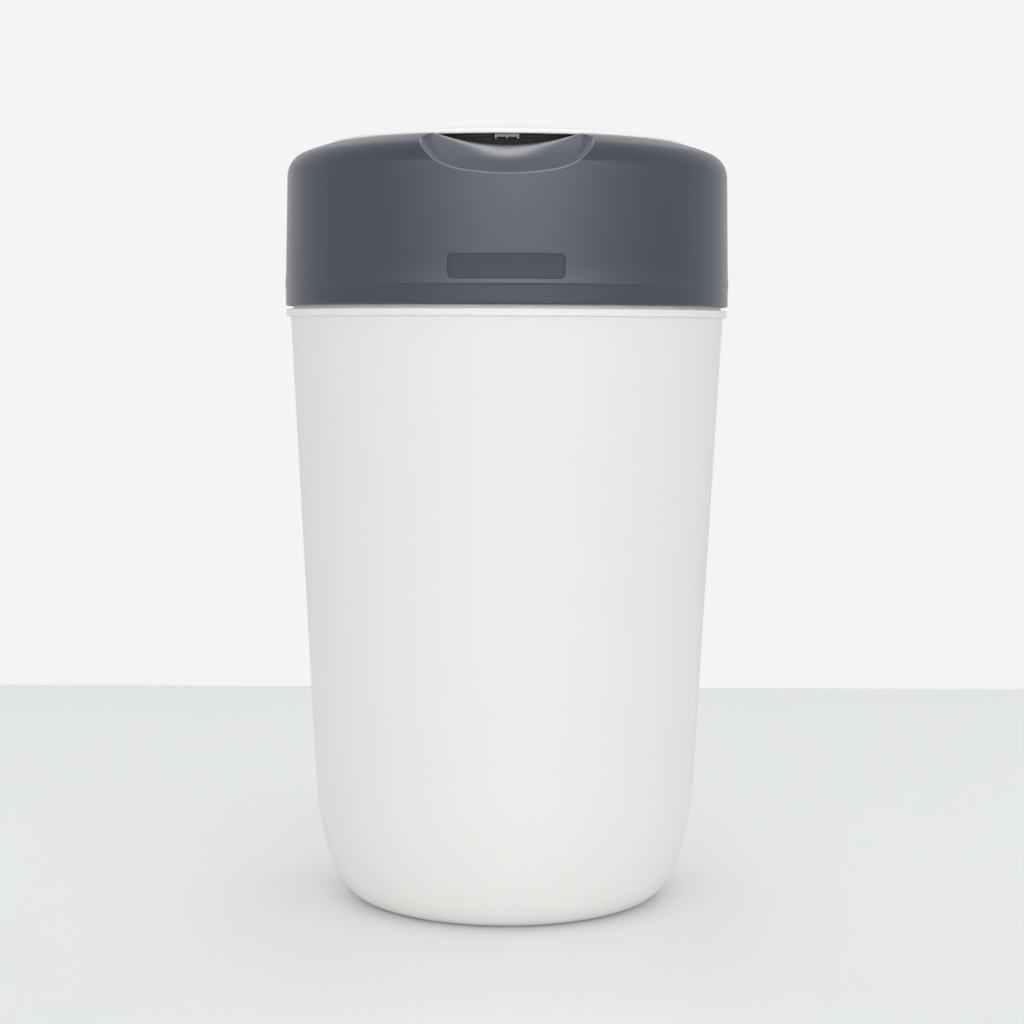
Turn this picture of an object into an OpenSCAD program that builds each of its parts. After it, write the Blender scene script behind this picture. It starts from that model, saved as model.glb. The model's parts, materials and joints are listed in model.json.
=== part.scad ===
// Nappy bin: a tapered tub, a lift-off head with a domed lid, and the twist
// drum, film cassette, film grip and cutter that the head carries.
// Millimetres, +Z up, front towards -Y, origin under the middle of the foot.

/* [Tub] */
// Height of the rim band's upper face
tub_h = 321.5; // [260:0.5:380]
// Outer radius of the wall under the rim
tub_top_r = 117.4; // [112:0.1:122]
// Radius that the wall loses from the rim down to the floor
tub_taper = 16.4; // [8:0.2:24]
// Width of the rounded bottom corner
corner_w = 25; // [15:1:32]
// Height of the rounded bottom corner
corner_h = 68; // [45:1:90]
// Wall of the tub
tub_wall = 2.4; // [1.8:0.1:3.2]
// Height of the rim band
rim_h = 3.9; // [3:0.1:6]
// How far the rim band stands out from the wall
rim_out = 2.3; // [1.5:0.1:3.5]
// Height of the neck that stands up inside the head
neck_h = 16.5; // [12:0.5:22]
// Depth of the hollow under the base
foot_hollow = 1.6; // [1:0.1:2.5]
// Width of the ring that the tub stands on
foot_ring_w = 9; // [6:0.5:14]

/* [Head cover] */
// How far the head's edge stands out past the rim band
head_out = 0.6; // [0.2:0.1:2]
// Height of the skirt, from its edge to where the shoulder starts
skirt_h = 69.3; // [60:0.1:90]
// Radius that the skirt loses over its height
skirt_draft = 1.3; // [0.5:0.1:2.5]
// Rounding radius of the shoulder
shoulder_r = 13; // [9:0.5:16]
// Slope of the crown where it leaves the shoulder, in degrees
crown_slope = 22; // [16:0.5:26]
// Radius of the crown's curve
crown_r = 103; // [90:1:160]
// Width of the cover's top, from the edge in to the mouth
crown_w = 24.3; // [21:0.1:27]
// Wall of the cover
cover_wall = 2.5; // [1.8:0.1:3]
// Depth of the collar that hangs from the mouth
collar_h = 12; // [8:0.5:15]
// Shadow gap between the head's edge and the rim
edge_gap = 1.8; // [0.5:0.1:3]

/* [Finger scoop] */
// Radius of the scoop's outline
scoop_r = 45.8; // [38:0.2:52]
// Tilt of the scoop's floor, in degrees
scoop_tilt = 35.6; // [32:0.1:38]
// Rounding between the scoop's floor and its side
scoop_fillet = 9.2; // [6:0.2:12]
// Rise of the scoop's floor from its middle to that rounding
scoop_bow = 1; // [0.2:0.1:2]
// How far the scoop's middle lies inside the mouth's edge
scoop_in = 4.1; // [3.5:0.1:5]
// How far the scoop's middle lies under the mouth's edge
scoop_drop = 3.5; // [3:0.1:4]

/* [Badge recess] */
// Width of the bare recess on the front
badge_w = 58.4; // [40:0.2:70]
// Height of the recess
badge_h = 12.4; // [9:0.2:16]
// Height of the recess's middle over the head's edge
badge_rise = 18.7; // [15:0.1:30]
// Corner radius of the recess
badge_corner = 3; // [1.5:0.1:4]
// Depth of the recess
badge_depth = 0.6; // [0.3:0.05:1]

/* [Well] */
// Wall of the well
well_wall = 2.2; // [1.8:0.1:2.6]
// Depth of the well's floor under its flange
well_sink = 8; // [6:0.5:10]
// Thickness of the well's floor and flange
well_floor_t = 2.5; // [2:0.1:3]
// Width of the ledge that the well's floor leaves round the cassette's core
ledge_w = 7; // [5:0.5:9]
// Width of the seat ring that the lid closes on
seat_w = 7.8; // [7:0.1:9]
// Gap left between the seat ring and the lid's edge
seat_drop = 2.3; // [2:0.1:3]
// Height of the seat ring
seat_h = 8; // [6:0.2:9]

/* [Drum and clicker] */
// Wall of the drum
drum_wall = 2.2; // [1.8:0.1:2.4]
// Width of the drum's flange under the seat ring
drum_lip_w = 4.2; // [3.6:0.1:4.4]
// Running gap around the drum
drum_gap = 0.6; // [0.4:0.05:0.8]
// Number of ratchet teeth
teeth = 72; // [36:12:96]
// Height of a ratchet tooth
tooth_h = 2; // [1.2:0.1:2.2]
// Number of finger notches in the drum's edge
notches = 8; // [6:1:10]
// Radius of a finger notch
notch_r = 9; // [7:0.5:11]
// Width of a pawl
pawl_w = 8; // [6:0.5:10]
// Radius of a pawl's pin
pawl_pin_r = 1.2; // [1:0.1:1.5]

/* [Film cassette] */
// Height of the cassette
cassette_h = 56; // [44:1:58]
// Wall of the cassette
cassette_wall = 1.5; // [1.2:0.1:2]
// Width of the cassette, from its outside in to its core
cassette_w = 33.2; // [28:0.2:38]
// Pleats in the pack of film
pleats = 14; // [8:1:20]
// Width of the slot that the film comes out of
film_slot = 4.5; // [3:0.5:7]

/* [Film grip] */
// Number of flexible fingers
fingers = 8; // [6:1:12]
// Length of a finger
finger_l = 28; // [22:1:34]
// Thickness of a finger
finger_t = 1.6; // [1.2:0.1:2.2]
// Drop of a finger from its root to its tip
finger_drop = 10; // [7:0.5:14]

/* [Lid] */
// Gap between the lid's edge and the mouth
lid_gap = 0.6; // [0.4:0.1:1.5]
// How far the lid's lower edge lies under the mouth's edge
lid_sink = 0.5; // [0.3:0.1:1]
// Height of the lid's upright edge
lid_edge_h = 2.6; // [2:0.1:4]
// Rise of the dome over that edge
lid_rise = 7; // [5:0.2:10]
// Wall of the lid
lid_wall = 2; // [1.6:0.1:2.4]
// How far the hinge line lies inside the mouth's edge
hinge_in = 3.4; // [3.2:0.1:3.6]
// Radius of the hinge pin
hinge_pin_r = 1.2; // [1:0.1:1.3]
// Width over the hinge's lugs
hinge_w = 36; // [30:1:37]
// Width of the catch under the lid's front edge
catch_w = 12.2; // [10:0.2:18]

/* [Cutter] */
// Length of the cutter's rail
rail_l = 84; // [70:1:90]
// Length of the cutter's slide
slide_l = 24; // [18:1:30]
// Thickness of the blade
blade_t = 0.6; // [0.4:0.05:0.8]

/* [Hidden] */
$fn = 96;

white = "#f1f0ee";
slate = "#5d626f";
black = "#26262a";
pale_grey = "#c9cbce";
steel = "#b9bcc1";

// Shared clearances
fit_gap = 0.4;
skin_gap = 0.3;
seal_t = 2;
far = 400;

// Room above the well's flange for the pawls' pins
pawl_pin_l = 20;

// Levels from the floor up
rim_z = tub_h - rim_h;
rim_r = tub_top_r + rim_out;
tub_base_r = tub_top_r - tub_taper;
head_r = rim_r + head_out;
mouth_r = head_r - crown_w;
edge_z = tub_h + edge_gap;
neck_top = tub_h + neck_h;
flange_z = neck_top + seal_t;
floor_top = flange_z - well_sink + well_floor_t;
shoulder_z = edge_z + skirt_h;
skirt_top_r = head_r - skirt_draft;
crown_start = [skirt_top_r - shoulder_r + shoulder_r * sin(crown_slope),
               shoulder_z + shoulder_r * cos(crown_slope)];
crown_mid = [crown_start.x - crown_r * sin(crown_slope), crown_start.y - crown_r * cos(crown_slope)];
mouth_z = crown_mid.y + sqrt(pow(crown_r, 2) - pow(mouth_r - crown_mid.x, 2));
seat_top = mouth_z - seat_drop;
seat_z = seat_top - seat_h;
lid_z = mouth_z - lid_sink;

// Radii inside the head
seat_out = mouth_r - fit_gap;
seat_r = seat_out - seat_w;
well_r = seat_r + drum_lip_w;
well_out = well_r + well_wall;
neck_play = 1.6;
neck_r = head_r - cover_wall - neck_play;
drum_out = seat_r - drum_gap;
drum_in = drum_out - drum_wall;
cassette_r = drum_in - fit_gap * 2;
core_r = cassette_r - cassette_w;
passage_r = core_r + ledge_w;
finger_tip_r = passage_r - finger_l;
drum_floor_z = floor_top + drum_gap;
drum_floor_t = 2;
cassette_z = drum_floor_z + drum_floor_t + 0.2;
cassette_top = cassette_z + cassette_h;
drum_lip_t = 2.4;
drum_flange_z = seat_z - drum_gap - drum_lip_t;
drum_top = seat_top - 3;
key_h = cassette_wall - 0.2;
boss_r = mouth_r + 11;
boss_wall = 2.5;
screw_l = 14;

// Lid and hinge
lid_r = mouth_r - lid_gap;
lid_top_r = lid_r - 3;
hinge_y = mouth_r - hinge_in;
dome_r = (pow(lid_top_r, 2) + pow(lid_rise, 2)) / (2 * lid_rise);
knuckle_r = hinge_pin_r + 1.4;
hinge_z = lid_z + knuckle_r + 0.1;
lug_w = 6;
knuckle_gap = 0.4;
barrel_w = hinge_w - 2 * lug_w - 2 * knuckle_gap;
lid_back_y = hinge_y - knuckle_r - 0.6;
seal_in = seat_r + 1;
seal_out = seat_r + 2.8;

// Cutter
rail_w = 16;
rail_y = passage_r + rail_w;
rail_t = 5;
rail_z = floor_top - well_floor_t - rail_t;
lip_w = 3.2;
lip_t = 2.4;

// Points along an arc, and along a cubic curve
function arc(mid, r, a0, a1, n = 12) =
    [for (i = [0:n]) let (a = a0 + (a1 - a0) * i / n) [mid.x + r * cos(a), mid.y + r * sin(a)]];
function curve(p0, p1, p2, p3, n = 20) =
    [for (i = [0:n]) let (t = i / n, u = 1 - t)
        u * u * u * p0 + 3 * u * u * t * p1 + 3 * u * t * t * p2 + t * t * t * p3];
function turned(p, a) = [p.x * cos(a) - p.y * sin(a), p.x * sin(a) + p.y * cos(a)];

// A ring from radius r0 to r1 and from z0 up to z1
module ring(r0, r1, z0, z1) {
    translate([0, 0, z0])
        difference() {
            cylinder(r = r1, h = z1 - z0);
            translate([0, 0, -1]) cylinder(r = r0, h = z1 - z0 + 2);
        }
}

module revolve(points) {
    rotate_extrude() polygon(points);
}

// A block centred on x and y that stands on z
module block(size, at) {
    translate([at.x - size.x / 2, at.y - size.y / 2, at.z]) cube(size);
}

// A pan-headed screw, pointing up, with its head's underside at z 0
module screw(length, shank_r = 1.5, head_r = 3, head_t = 1.8) {
    translate([0, 0, -head_t]) cylinder(r = head_r, h = head_t);
    translate([0, 0, -0.01]) cylinder(r = shank_r, h = length);
}

// Outer radius of the tub's wall at a height
function tub_r(z) = tub_base_r + (tub_top_r - tub_base_r) * z / rim_z;

// The corner and wall of the tub, from the foot to the rim, moved in by inset
function tub_line(inset, top) =
    let (foot = [tub_base_r - corner_w, inset],
         side = [tub_r(corner_h) - inset, corner_h],
         lean = (tub_top_r - tub_base_r) / rim_z,
         pull = 0.56 * (corner_h - inset))
    concat(curve(foot, [foot.x + 0.62 * (side.x - foot.x), inset],
                 [side.x - lean * pull, side.y - pull], side),
           [[tub_r(top) - inset, top]]);

module tub() {
    edge = 0.7;
    neck_in = neck_r - tub_wall;
    foot_in = tub_base_r - corner_w - foot_ring_w;
    inside = tub_line(tub_wall, rim_z - 6);
    color(white)
        revolve(concat(
            [[0, foot_hollow], [foot_in - foot_hollow, foot_hollow], [foot_in, 0]],
            tub_line(0, rim_z),
            arc([rim_r - edge, rim_z + edge], edge, -90, 0, 4),
            arc([rim_r - edge, tub_h - edge], edge, 0, 90, 4),
            [[neck_r, tub_h], [neck_r, neck_top - 1], [neck_r - 0.8, neck_top],
             [neck_in, neck_top], [neck_in, rim_z + 1]],
            [for (i = [len(inside) - 1:-1:0]) inside[i]],
            [[tub_base_r - corner_w - 4, tub_wall + foot_hollow], [0, tub_wall + foot_hollow]]));
}

module neck_seal() {
    color(black) ring(neck_r - tub_wall - 0.8, neck_r - 0.8, neck_top + skin_gap, flange_z);
}

// The head cover's outside, from the skirt's edge to the mouth, moved in by inset
function cover_line(inset, low) =
    let (round_mid = [skirt_top_r - shoulder_r, shoulder_z],
         mouth = mouth_r + inset,
         a_end = acos((mouth - crown_mid.x) / (crown_r - inset)))
    concat([[head_r - inset - skirt_draft * (low - edge_z) / skirt_h, low]],
           arc(round_mid, shoulder_r - inset, 0, 90 - crown_slope, 9),
           arc(crown_mid, crown_r - inset, 90 - crown_slope, a_end, 4));

// The dish that the scoop is cut with, grown by grow on every side
module scoop(grow = 0) {
    f = scoop_fillet + grow;
    r = scoop_r + grow;
    translate([0, scoop_in - mouth_r, mouth_z - scoop_drop])
        rotate([scoop_tilt, 0, 0])
            translate([0, 0, -grow])
                revolve(concat([[0, 0], [(r - f) / 2, scoop_bow / 4]],
                               arc([r - f, f + scoop_bow], f, -90, 0, 8), [[r, 40], [0, 40]]));
}

module badge_cut() {
    x = badge_w / 2 - badge_corner;
    z = badge_h / 2 - badge_corner;
    at = edge_z + badge_rise;
    floor_r = head_r - skirt_draft * badge_rise / skirt_h - badge_depth;
    difference() {
        translate([0, -head_r + 12, at]) rotate([90, 0, 0]) {
            for (sx = [-x, x], sz = [-z, z])
                translate([sx, sz, 0]) cylinder(r = badge_corner, h = 14, $fn = 48);
            translate([-x, -badge_h / 2, 0]) cube([2 * x, badge_h, 14]);
            translate([-badge_w / 2, -z, 0]) cube([badge_w, 2 * z, 14]);
        }
        translate([0, 0, at - badge_h]) cylinder(r = floor_r, h = 2 * badge_h);
    }
}

// Places what it holds at the four screw bosses
module at_bosses() {
    for (a = [45:90:315]) rotate(a) translate([boss_r, 0, 0]) children();
}

module head_cover() {
    edge = 1;
    inner = cover_line(cover_wall, edge_z);
    boss_z = flange_z + well_floor_t + skin_gap;
    color(slate)
        difference() {
            union() {
                difference() {
                    revolve(concat([[0, edge_z]], [[head_r - edge, edge_z]],
                                   cover_line(0, edge_z + edge), [[0, mouth_z]]));
                    difference() {
                        revolve(concat([[0, edge_z - 1], [inner[0].x, edge_z - 1]], inner,
                                       [[0, mouth_z - cover_wall]]));
                        scoop(cover_wall);
                    }
                }
                ring(mouth_r, mouth_r + cover_wall, mouth_z - collar_h, mouth_z - 0.4);
                intersection() {
                    at_bosses() translate([0, 0, boss_z]) cylinder(r = 1.5 + boss_wall, h = far);
                    revolve(concat([[0, edge_z]], cover_line(cover_wall / 2, edge_z), [[0, mouth_z - 1]]));
                }
            }
            translate([0, 0, edge_z - 1]) cylinder(r = mouth_r, h = far);
            scoop();
            badge_cut();
            at_bosses() translate([0, 0, boss_z - 1]) cylinder(r = 1.5, h = screw_l, $fn = 32);
        }
}

module well() {
    inner_lip = 2.5;
    color(black)
        difference() {
            union() {
                revolve([[passage_r, floor_top - well_floor_t], [well_out, floor_top - well_floor_t],
                         [well_out, flange_z], [neck_r - 0.4, flange_z],
                         [neck_r - 0.4, flange_z + well_floor_t], [well_out, flange_z + well_floor_t],
                         [well_out, seat_z], [well_r, seat_z], [well_r, floor_top],
                         [passage_r + inner_lip, floor_top], [passage_r + inner_lip, floor_top + 0.3],
                         [passage_r, floor_top + 0.3]]);
                pawl_lugs();
                at_bosses() translate([0, 0, flange_z]) cylinder(r = 5, h = well_floor_t);
            }
            for (a = [0, 180]) rotate(a)
                translate([well_r - 4, pawl_window.x, pawl_z - 0.6])
                    cube([well_wall + 5, pawl_window.y, pawl_w + 1.2]);
            at_bosses() translate([0, 0, flange_z - 1]) cylinder(r = 1.8, h = well_floor_t + 2, $fn = 32);
            at_grip_screws() translate([0, 0, floor_top - well_floor_t - 1]) cylinder(r = 1, h = 2.6, $fn = 32);
            at_rail_screws() translate([0, 0, floor_top - well_floor_t - 1]) cylinder(r = 1, h = 2.6, $fn = 32);
            at_pawls() translate([0, 0, flange_z]) cylinder(r = pawl_pin_r, h = pawl_pin_l, $fn = 32);
        }
}

module seat_ring() {
    finger_wall = 3.2;
    lug_x = (hinge_w - lug_w) / 2;
    post_in = lid_back_y + 0.7;
    color(black)
        difference() {
            union() {
                difference() {
                    revolve([[seat_r, seat_z], [seat_out, seat_z], [seat_out, seat_top - 0.5],
                             [seat_out - 0.5, seat_top], [seat_r + 0.8, seat_top], [seat_r, seat_top - 0.8]]);
                    // finger room behind the scoop
                    difference() {
                        block([2 * scoop_r * 0.84, 40, 20], [0, -mouth_r, seat_z + 2.4]);
                        cylinder(r = seat_r + finger_wall, h = far * 2);
                    }
                }
                for (s = [-1, 1]) {
                    translate([s * lug_x - lug_w / 2, hinge_y, hinge_z])
                        rotate([0, 90, 0]) cylinder(r = knuckle_r, h = lug_w);
                    intersection() {
                        block([lug_w, 8, hinge_z - seat_top + 2], [s * lug_x, post_in + 4, seat_top - 2]);
                        cylinder(r = seat_out, h = far * 2);
                    }
                }
            }
            translate([-hinge_w, hinge_y, hinge_z])
                rotate([0, 90, 0]) cylinder(r = hinge_pin_r, h = 2 * hinge_w, $fn = 48);
        }
}

module cover_screws() {
    color(steel) at_bosses() translate([0, 0, flange_z]) screw(screw_l, 1.5, 2.9, 1.6);
}

// The flexible fingers that hold the wrapped nappy under the cassette
module film_grip() {
    root_r = passage_r + 6;
    top = floor_top - well_floor_t;
    plate_t = 2;
    color(pale_grey)
        difference() {
            union() {
                ring(passage_r - 3, root_r, top - plate_t, top);
                for (i = [0:fingers - 1]) rotate(360 / fingers * (i + 0.08))
                    rotate_extrude(angle = 360 / fingers * 0.84)
                        polygon([[passage_r - 2, top - plate_t], [passage_r - 2, top - plate_t + finger_t],
                                 [finger_tip_r + 2, top - finger_drop + finger_t],
                                 [finger_tip_r, top - finger_drop + finger_t / 2],
                                 [finger_tip_r + 1, top - finger_drop]]);
            }
            at_grip_screws() translate([0, 0, top - plate_t - 1]) cylinder(r = 1.3, h = plate_t + 2, $fn = 32);
        }
}

// Places what it holds at the four screws of the film grip
module at_grip_screws() {
    for (a = [0:90:270]) rotate(a) translate([passage_r + 3.4, 0, 0]) children();
}

module grip_screws() {
    color(steel) at_grip_screws()
        translate([0, 0, floor_top - well_floor_t - 2]) screw(3.4, 1, 2.2, 1.2);
}

// One ratchet tooth's outline, from its steep side to its slope
tooth_pitch = 360 / teeth;
tooth_root = drum_out - 0.2;
module ratchet(z0, z1) {
    points = [for (i = [0:teeth - 1])
        each [turned([tooth_root, 0], i * tooth_pitch),
              turned([drum_out + tooth_h, 0], (i + 0.08) * tooth_pitch),
              turned([drum_out + tooth_h, 0], (i + 0.2) * tooth_pitch),
              turned([drum_out, 0], (i + 0.96) * tooth_pitch)]];
    translate([0, 0, z0]) linear_extrude(z1 - z0) difference() {
        polygon(points);
        circle(r = drum_out - 0.6);
    }
}

// Places what it holds at the four keys that turn the cassette
module at_keys() {
    for (a = [45:90:315]) rotate(a) translate([drum_in - 2.5, 0, 0]) children();
}

module drum() {
    floor_in = core_r + 2;
    color(pale_grey)
        difference() {
            union() {
                revolve([[floor_in, drum_floor_z], [drum_out, drum_floor_z], [drum_out, drum_flange_z],
                         [well_r - drum_gap, drum_flange_z],
                         [well_r - drum_gap, drum_flange_z + drum_lip_t],
                         [drum_out, drum_flange_z + drum_lip_t], [drum_out, drum_top - 0.6],
                         [drum_out - 0.6, drum_top], [drum_in + 0.6, drum_top], [drum_in, drum_top - 0.6],
                         [drum_in, drum_floor_z + drum_floor_t], [floor_in, drum_floor_z + drum_floor_t]]);
                ratchet(pawl_z + 0.5, pawl_z + pawl_w - 0.5);
                at_keys() block([5.4, 5, cassette_z + key_h - drum_floor_z - 1], [0, 0, drum_floor_z + 1]);
            }
            for (i = [0:notches - 1]) rotate(360 / notches * (i + 0.5))
                translate([drum_in - 6, 0, drum_top + 2.4]) rotate([0, 90, 0]) cylinder(r = notch_r, h = 14);
            for (i = [0:11]) rotate(30 * i)
                translate([(floor_in + drum_in) / 2, 0, drum_floor_z - 1]) cylinder(r = 6, h = 5);
        }
}

module cassette_tray() {
    w = cassette_wall;
    color(white)
        difference() {
            revolve([[core_r + fit_gap, cassette_z], [cassette_r - 2, cassette_z], [cassette_r, cassette_z + 2],
                     [cassette_r, cassette_top - 4], [cassette_r - w, cassette_top - 4],
                     [cassette_r - w, cassette_z + 2 + w * 0.4], [cassette_r - 2 - w * 0.4, cassette_z + w],
                     [core_r + fit_gap, cassette_z + w]]);
            at_keys() block([7, 6, key_h + 1.4], [0.2, 0, cassette_z - 1]);
        }
}

module cassette_core() {
    w = cassette_wall;
    lip = 3;
    color(white)
        revolve(concat([[core_r - w, cassette_z + 0.2], [core_r, cassette_z + 0.2]],
                       [[core_r, cassette_z + 1.7 + w], [core_r + 2.4, cassette_z + 1.7 + w],
                        [core_r + 2.4, cassette_z + 3.2 + w], [core_r, cassette_z + 3.2 + w]],
                       [[core_r, cassette_top - 3]],
                       arc([core_r + 1.5, cassette_top - 1.5], 1.5, 0, 90, 6),
                       arc([core_r - w + lip - 1, cassette_top - lip], lip, 90, 180, 6)));
}

module cassette_cap() {
    w = cassette_wall;
    slot_r = core_r + 3 + film_slot;
    ribs = 24;
    rib_margin = 9;
    skirt_low = cassette_top - 7;
    skirt_top = cassette_top - 3.9;
    color(white) {
        revolve([[slot_r, cassette_top - 4], [cassette_r, cassette_top - 4], [cassette_r, cassette_top - 3],
                 [cassette_r - 1, cassette_top - 2.2], [slot_r + 3, cassette_top - 2.2],
                 [slot_r + 1, cassette_top - 1.2], [slot_r, cassette_top - 2]]);
        ring(cassette_r - w - fit_gap - 1.4, cassette_r - w - fit_gap, skirt_low, skirt_top);
        for (i = [0:ribs - 1]) rotate(360 / ribs * i)
            block([cassette_r - slot_r - rib_margin, 1.2, 0.9], [(cassette_r + slot_r) / 2, 0, cassette_top - 2.3]);
    }
}

module film_pack() {
    low = cassette_z + cassette_wall + 0.4;
    high = cassette_top - 8;
    step = (high - low) / pleats;
    r0 = core_r + 3;
    r1 = cassette_r - cassette_wall - 1.2;
    color("#dfe9dc")
        revolve(concat(
            [for (i = [0:pleats - 1]) each [[r1 - 1.6, low + i * step + 0.3], [r1, low + (i + 0.5) * step]]],
            [[r1 - 1.6, high], [r0 + 1, high]],
            [for (i = [pleats - 1:-1:0]) each [[r0, low + (i + 0.5) * step], [r0 + 1, low + i * step + 0.3]]]));
}

// Clicker: two sprung pawls in windows of the well's wall
pawl_z = flange_z + well_floor_t + 3;
pawl_pivot = [well_out + 5.4, -8];
pawl_window = [pawl_pivot.y - 4.6, 31];
pawl_tip = 8;
pawl_t = 2;
module at_pawls() {
    for (a = [0, 180]) rotate(a) translate([pawl_pivot.x, pawl_pivot.y, 0]) children();
}

module pawl_lugs() {
    for (a = [0, 180]) rotate(a)
        for (z = [pawl_z - 2.2, pawl_z + pawl_w + 0.4]) difference() {
            hull() {
                translate([pawl_pivot.x, pawl_pivot.y, z]) cylinder(r = 3.4, h = 1.8, $fn = 32);
                translate([well_out - 1, pawl_pivot.y - 4, z]) cube([0.5, 8, 1.8]);
            }
            translate([0, 0, z - 1]) cylinder(r = well_r + 0.6, h = 4);
        }
}

module pawl(a) {
    // the nose rests between two teeth, clear of both
    nose = floor(atan2(pawl_tip, drum_out) / tooth_pitch) * tooth_pitch;
    root = drum_out + skin_gap + 0.15;
    color(pale_grey) rotate(a) difference() {
        translate([0, 0, pawl_z]) linear_extrude(pawl_w) {
            translate(pawl_pivot) circle(r = pawl_pin_r + 1.4);
            polygon([[pawl_pivot.x - pawl_pin_r - 1.4, pawl_pivot.y],
                     [pawl_pivot.x + 0.6, pawl_pivot.y + pawl_pin_r + 1.3],
                     turned([drum_out + tooth_h + pawl_t + 0.6, 0], nose + tooth_pitch * 0.6),
                     turned([drum_out + tooth_h + 0.6, 0], nose + tooth_pitch * 0.94),
                     turned([root, 0], nose + tooth_pitch * 0.94),
                     turned([drum_out + tooth_h * 0.45 + skin_gap, 0], nose + tooth_pitch * 0.62),
                     turned([drum_out + tooth_h + 0.6, 0], nose + tooth_pitch * 0.2)]);
        }
        translate([pawl_pivot.x, pawl_pivot.y, pawl_z - 1])
            cylinder(r = pawl_pin_r + 0.08, h = pawl_w + 2, $fn = 48);
    }
}

module pawl_right() {
    pawl(0);
}

module pawl_left() {
    pawl(180);
}

module pawl_pins() {
    color(steel) at_pawls() translate([0, 0, pawl_z - 2.2]) cylinder(r = pawl_pin_r, h = pawl_w + 4.4, $fn = 48);
}

// The lid's dome as a line from the middle to its edge, moved down by inset
function dome_line(inset, r, n = 16) =
    let (mid_z = lid_z + lid_edge_h + lid_rise - dome_r)
    [for (i = [0:n]) let (x = r * i / n) [x, mid_z + sqrt(pow(dome_r - inset, 2) - x * x)]];

// Height of the dome's underside at a radius
function lid_under(r) = lid_z + lid_edge_h + lid_rise - dome_r + sqrt(pow(dome_r - lid_wall, 2) - r * r);

module lid_cover() {
    inner_r = lid_r - lid_wall - 2.4;
    inner = dome_line(lid_wall, inner_r);
    color(white)
        difference() {
            union() {
                difference() {
                    revolve(concat([[0, lid_z]], arc([lid_r - 0.6, lid_z + 0.6], 0.6, -90, 0, 3),
                                   arc([lid_r - 2.4, lid_z + lid_edge_h - 0.4], 2.4, 0, 78, 5),
                                   [for (i = [15:-1:0]) dome_line(0, lid_top_r)[i]]));
                    difference() {
                        revolve(concat([[0, lid_z - 1], [inner_r, lid_z - 1]],
                                       [for (i = [len(inner) - 1:-1:0]) inner[i]]));
                        block([hinge_w + 6, 20, 20], [0, lid_back_y + 8.2, lid_z - 2]);
                    }
                    // room for the hinge's lugs, and a straight rear edge
                    block([hinge_w + 1.2, 20, 40], [0, lid_back_y + 10, lid_z - 5]);
                    block([lid_r, 20, 40], [0, hinge_y + 9.8, lid_z - 5]);
                }
                block([barrel_w, hinge_y - lid_back_y + 1, 2.8],
                      [0, (hinge_y + lid_back_y - 1) / 2, hinge_z - 1.3]);
                translate([-barrel_w / 2, hinge_y, hinge_z])
                    rotate([0, 90, 0]) cylinder(r = knuckle_r, h = barrel_w);
            }
            translate([-hinge_w, hinge_y, hinge_z])
                rotate([0, 90, 0]) cylinder(r = hinge_pin_r + 0.06, h = 2 * hinge_w, $fn = 48);
        }
}

module lid_lining() {
    r = seal_out + 0.2;
    top = lid_under(r) - 0.03;
    grip_r = 30;
    color(white)
        difference() {
            revolve([[0, lid_z + 0.4], [grip_r, lid_z + 0.4], [grip_r + 5, lid_z - 1.2], [r - 12, lid_z - 1.2],
                     [r - 10, lid_z], [r, lid_z], [r, top], [r - 12, top + 0.2],
                     [grip_r + 5, top + 0.2], [grip_r, top + 1.2], [0, top + 1.2]]);
            block([hinge_w + 8, 20, 20], [0, lid_back_y + 8, lid_z - 5]);
        }
}

module lid_seal() {
    color(black) ring(seal_in, seal_out, seat_top + skin_gap, lid_z);
}

// Tab with three ribs that presses behind the seat ring's front wall
module lid_catch() {
    back = seat_r + 3.2 + skin_gap;
    depth = 2.4;
    rib_w = 1;
    rib_h = 2.7;
    bay_h = 2.4;
    bay_w = (catch_w - 3 * rib_w) / 2;
    color(pale_grey) {
        for (i = [-1:1])
            block([rib_w, depth, rib_h], [i * (rib_w + bay_w), -back - depth / 2, lid_z - rib_h]);
        for (i = [-0.5, 0.5])
            block([bay_w + 0.02, depth, bay_h], [i * (rib_w + bay_w), -back - depth / 2, lid_z - bay_h]);
    }
}

module hinge_pin() {
    color(steel) translate([-hinge_w / 2, hinge_y, hinge_z])
        rotate([0, 90, 0]) cylinder(r = hinge_pin_r, h = hinge_w, $fn = 48);
}

// Places what it holds at the rail's two screws
module at_rail_screws() {
    for (s = [-1, 1]) translate([s * (rail_l / 2 - 5), rail_y, 0]) children();
}

module cutter_rail() {
    color(pale_grey)
        difference() {
            block([rail_l, rail_w, rail_t], [0, rail_y, rail_z]);
            block([rail_l - 20, rail_w - 2 * lip_w, rail_t], [0, rail_y, rail_z - 1]);
            block([rail_l - 20, rail_w - 3, rail_t - lip_t], [0, rail_y, rail_z + lip_t - 1]);
            at_rail_screws() {
                translate([0, 0, rail_z - 1]) cylinder(r = 1.3, h = rail_t + 2, $fn = 32);
                translate([0, 0, rail_z - 1]) cylinder(r = 2.6, h = 2.4, $fn = 32);
            }
        }
}

slide_x = -(rail_l - 20) / 2 + slide_l / 2 + 0.5;
module cutter_slide() {
    channel = rail_w - 2 * lip_w;
    color("#e8c64a")
        difference() {
            union() {
                block([slide_l, rail_w - 3 - 2 * skin_gap, rail_t - lip_t - 2 * skin_gap - 0.4],
                      [slide_x, rail_y, rail_z + lip_t - 1 + skin_gap]);
                block([slide_l, channel - 2 * skin_gap, lip_t + 3], [slide_x, rail_y, rail_z - 3.2]);
                block([slide_l, 13, 3], [slide_x, rail_y - 4, rail_z - 4]);
                for (i = [-2:2]) block([1.2, 9, 1], [slide_x + 3.2 * i, rail_y - 4, rail_z - 4.9]);
            }
            block([slide_l + 2, 8.4, blade_t + 0.1], [slide_x + 3, rail_y - 7, rail_z - 2.6]);
        }
}

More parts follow.
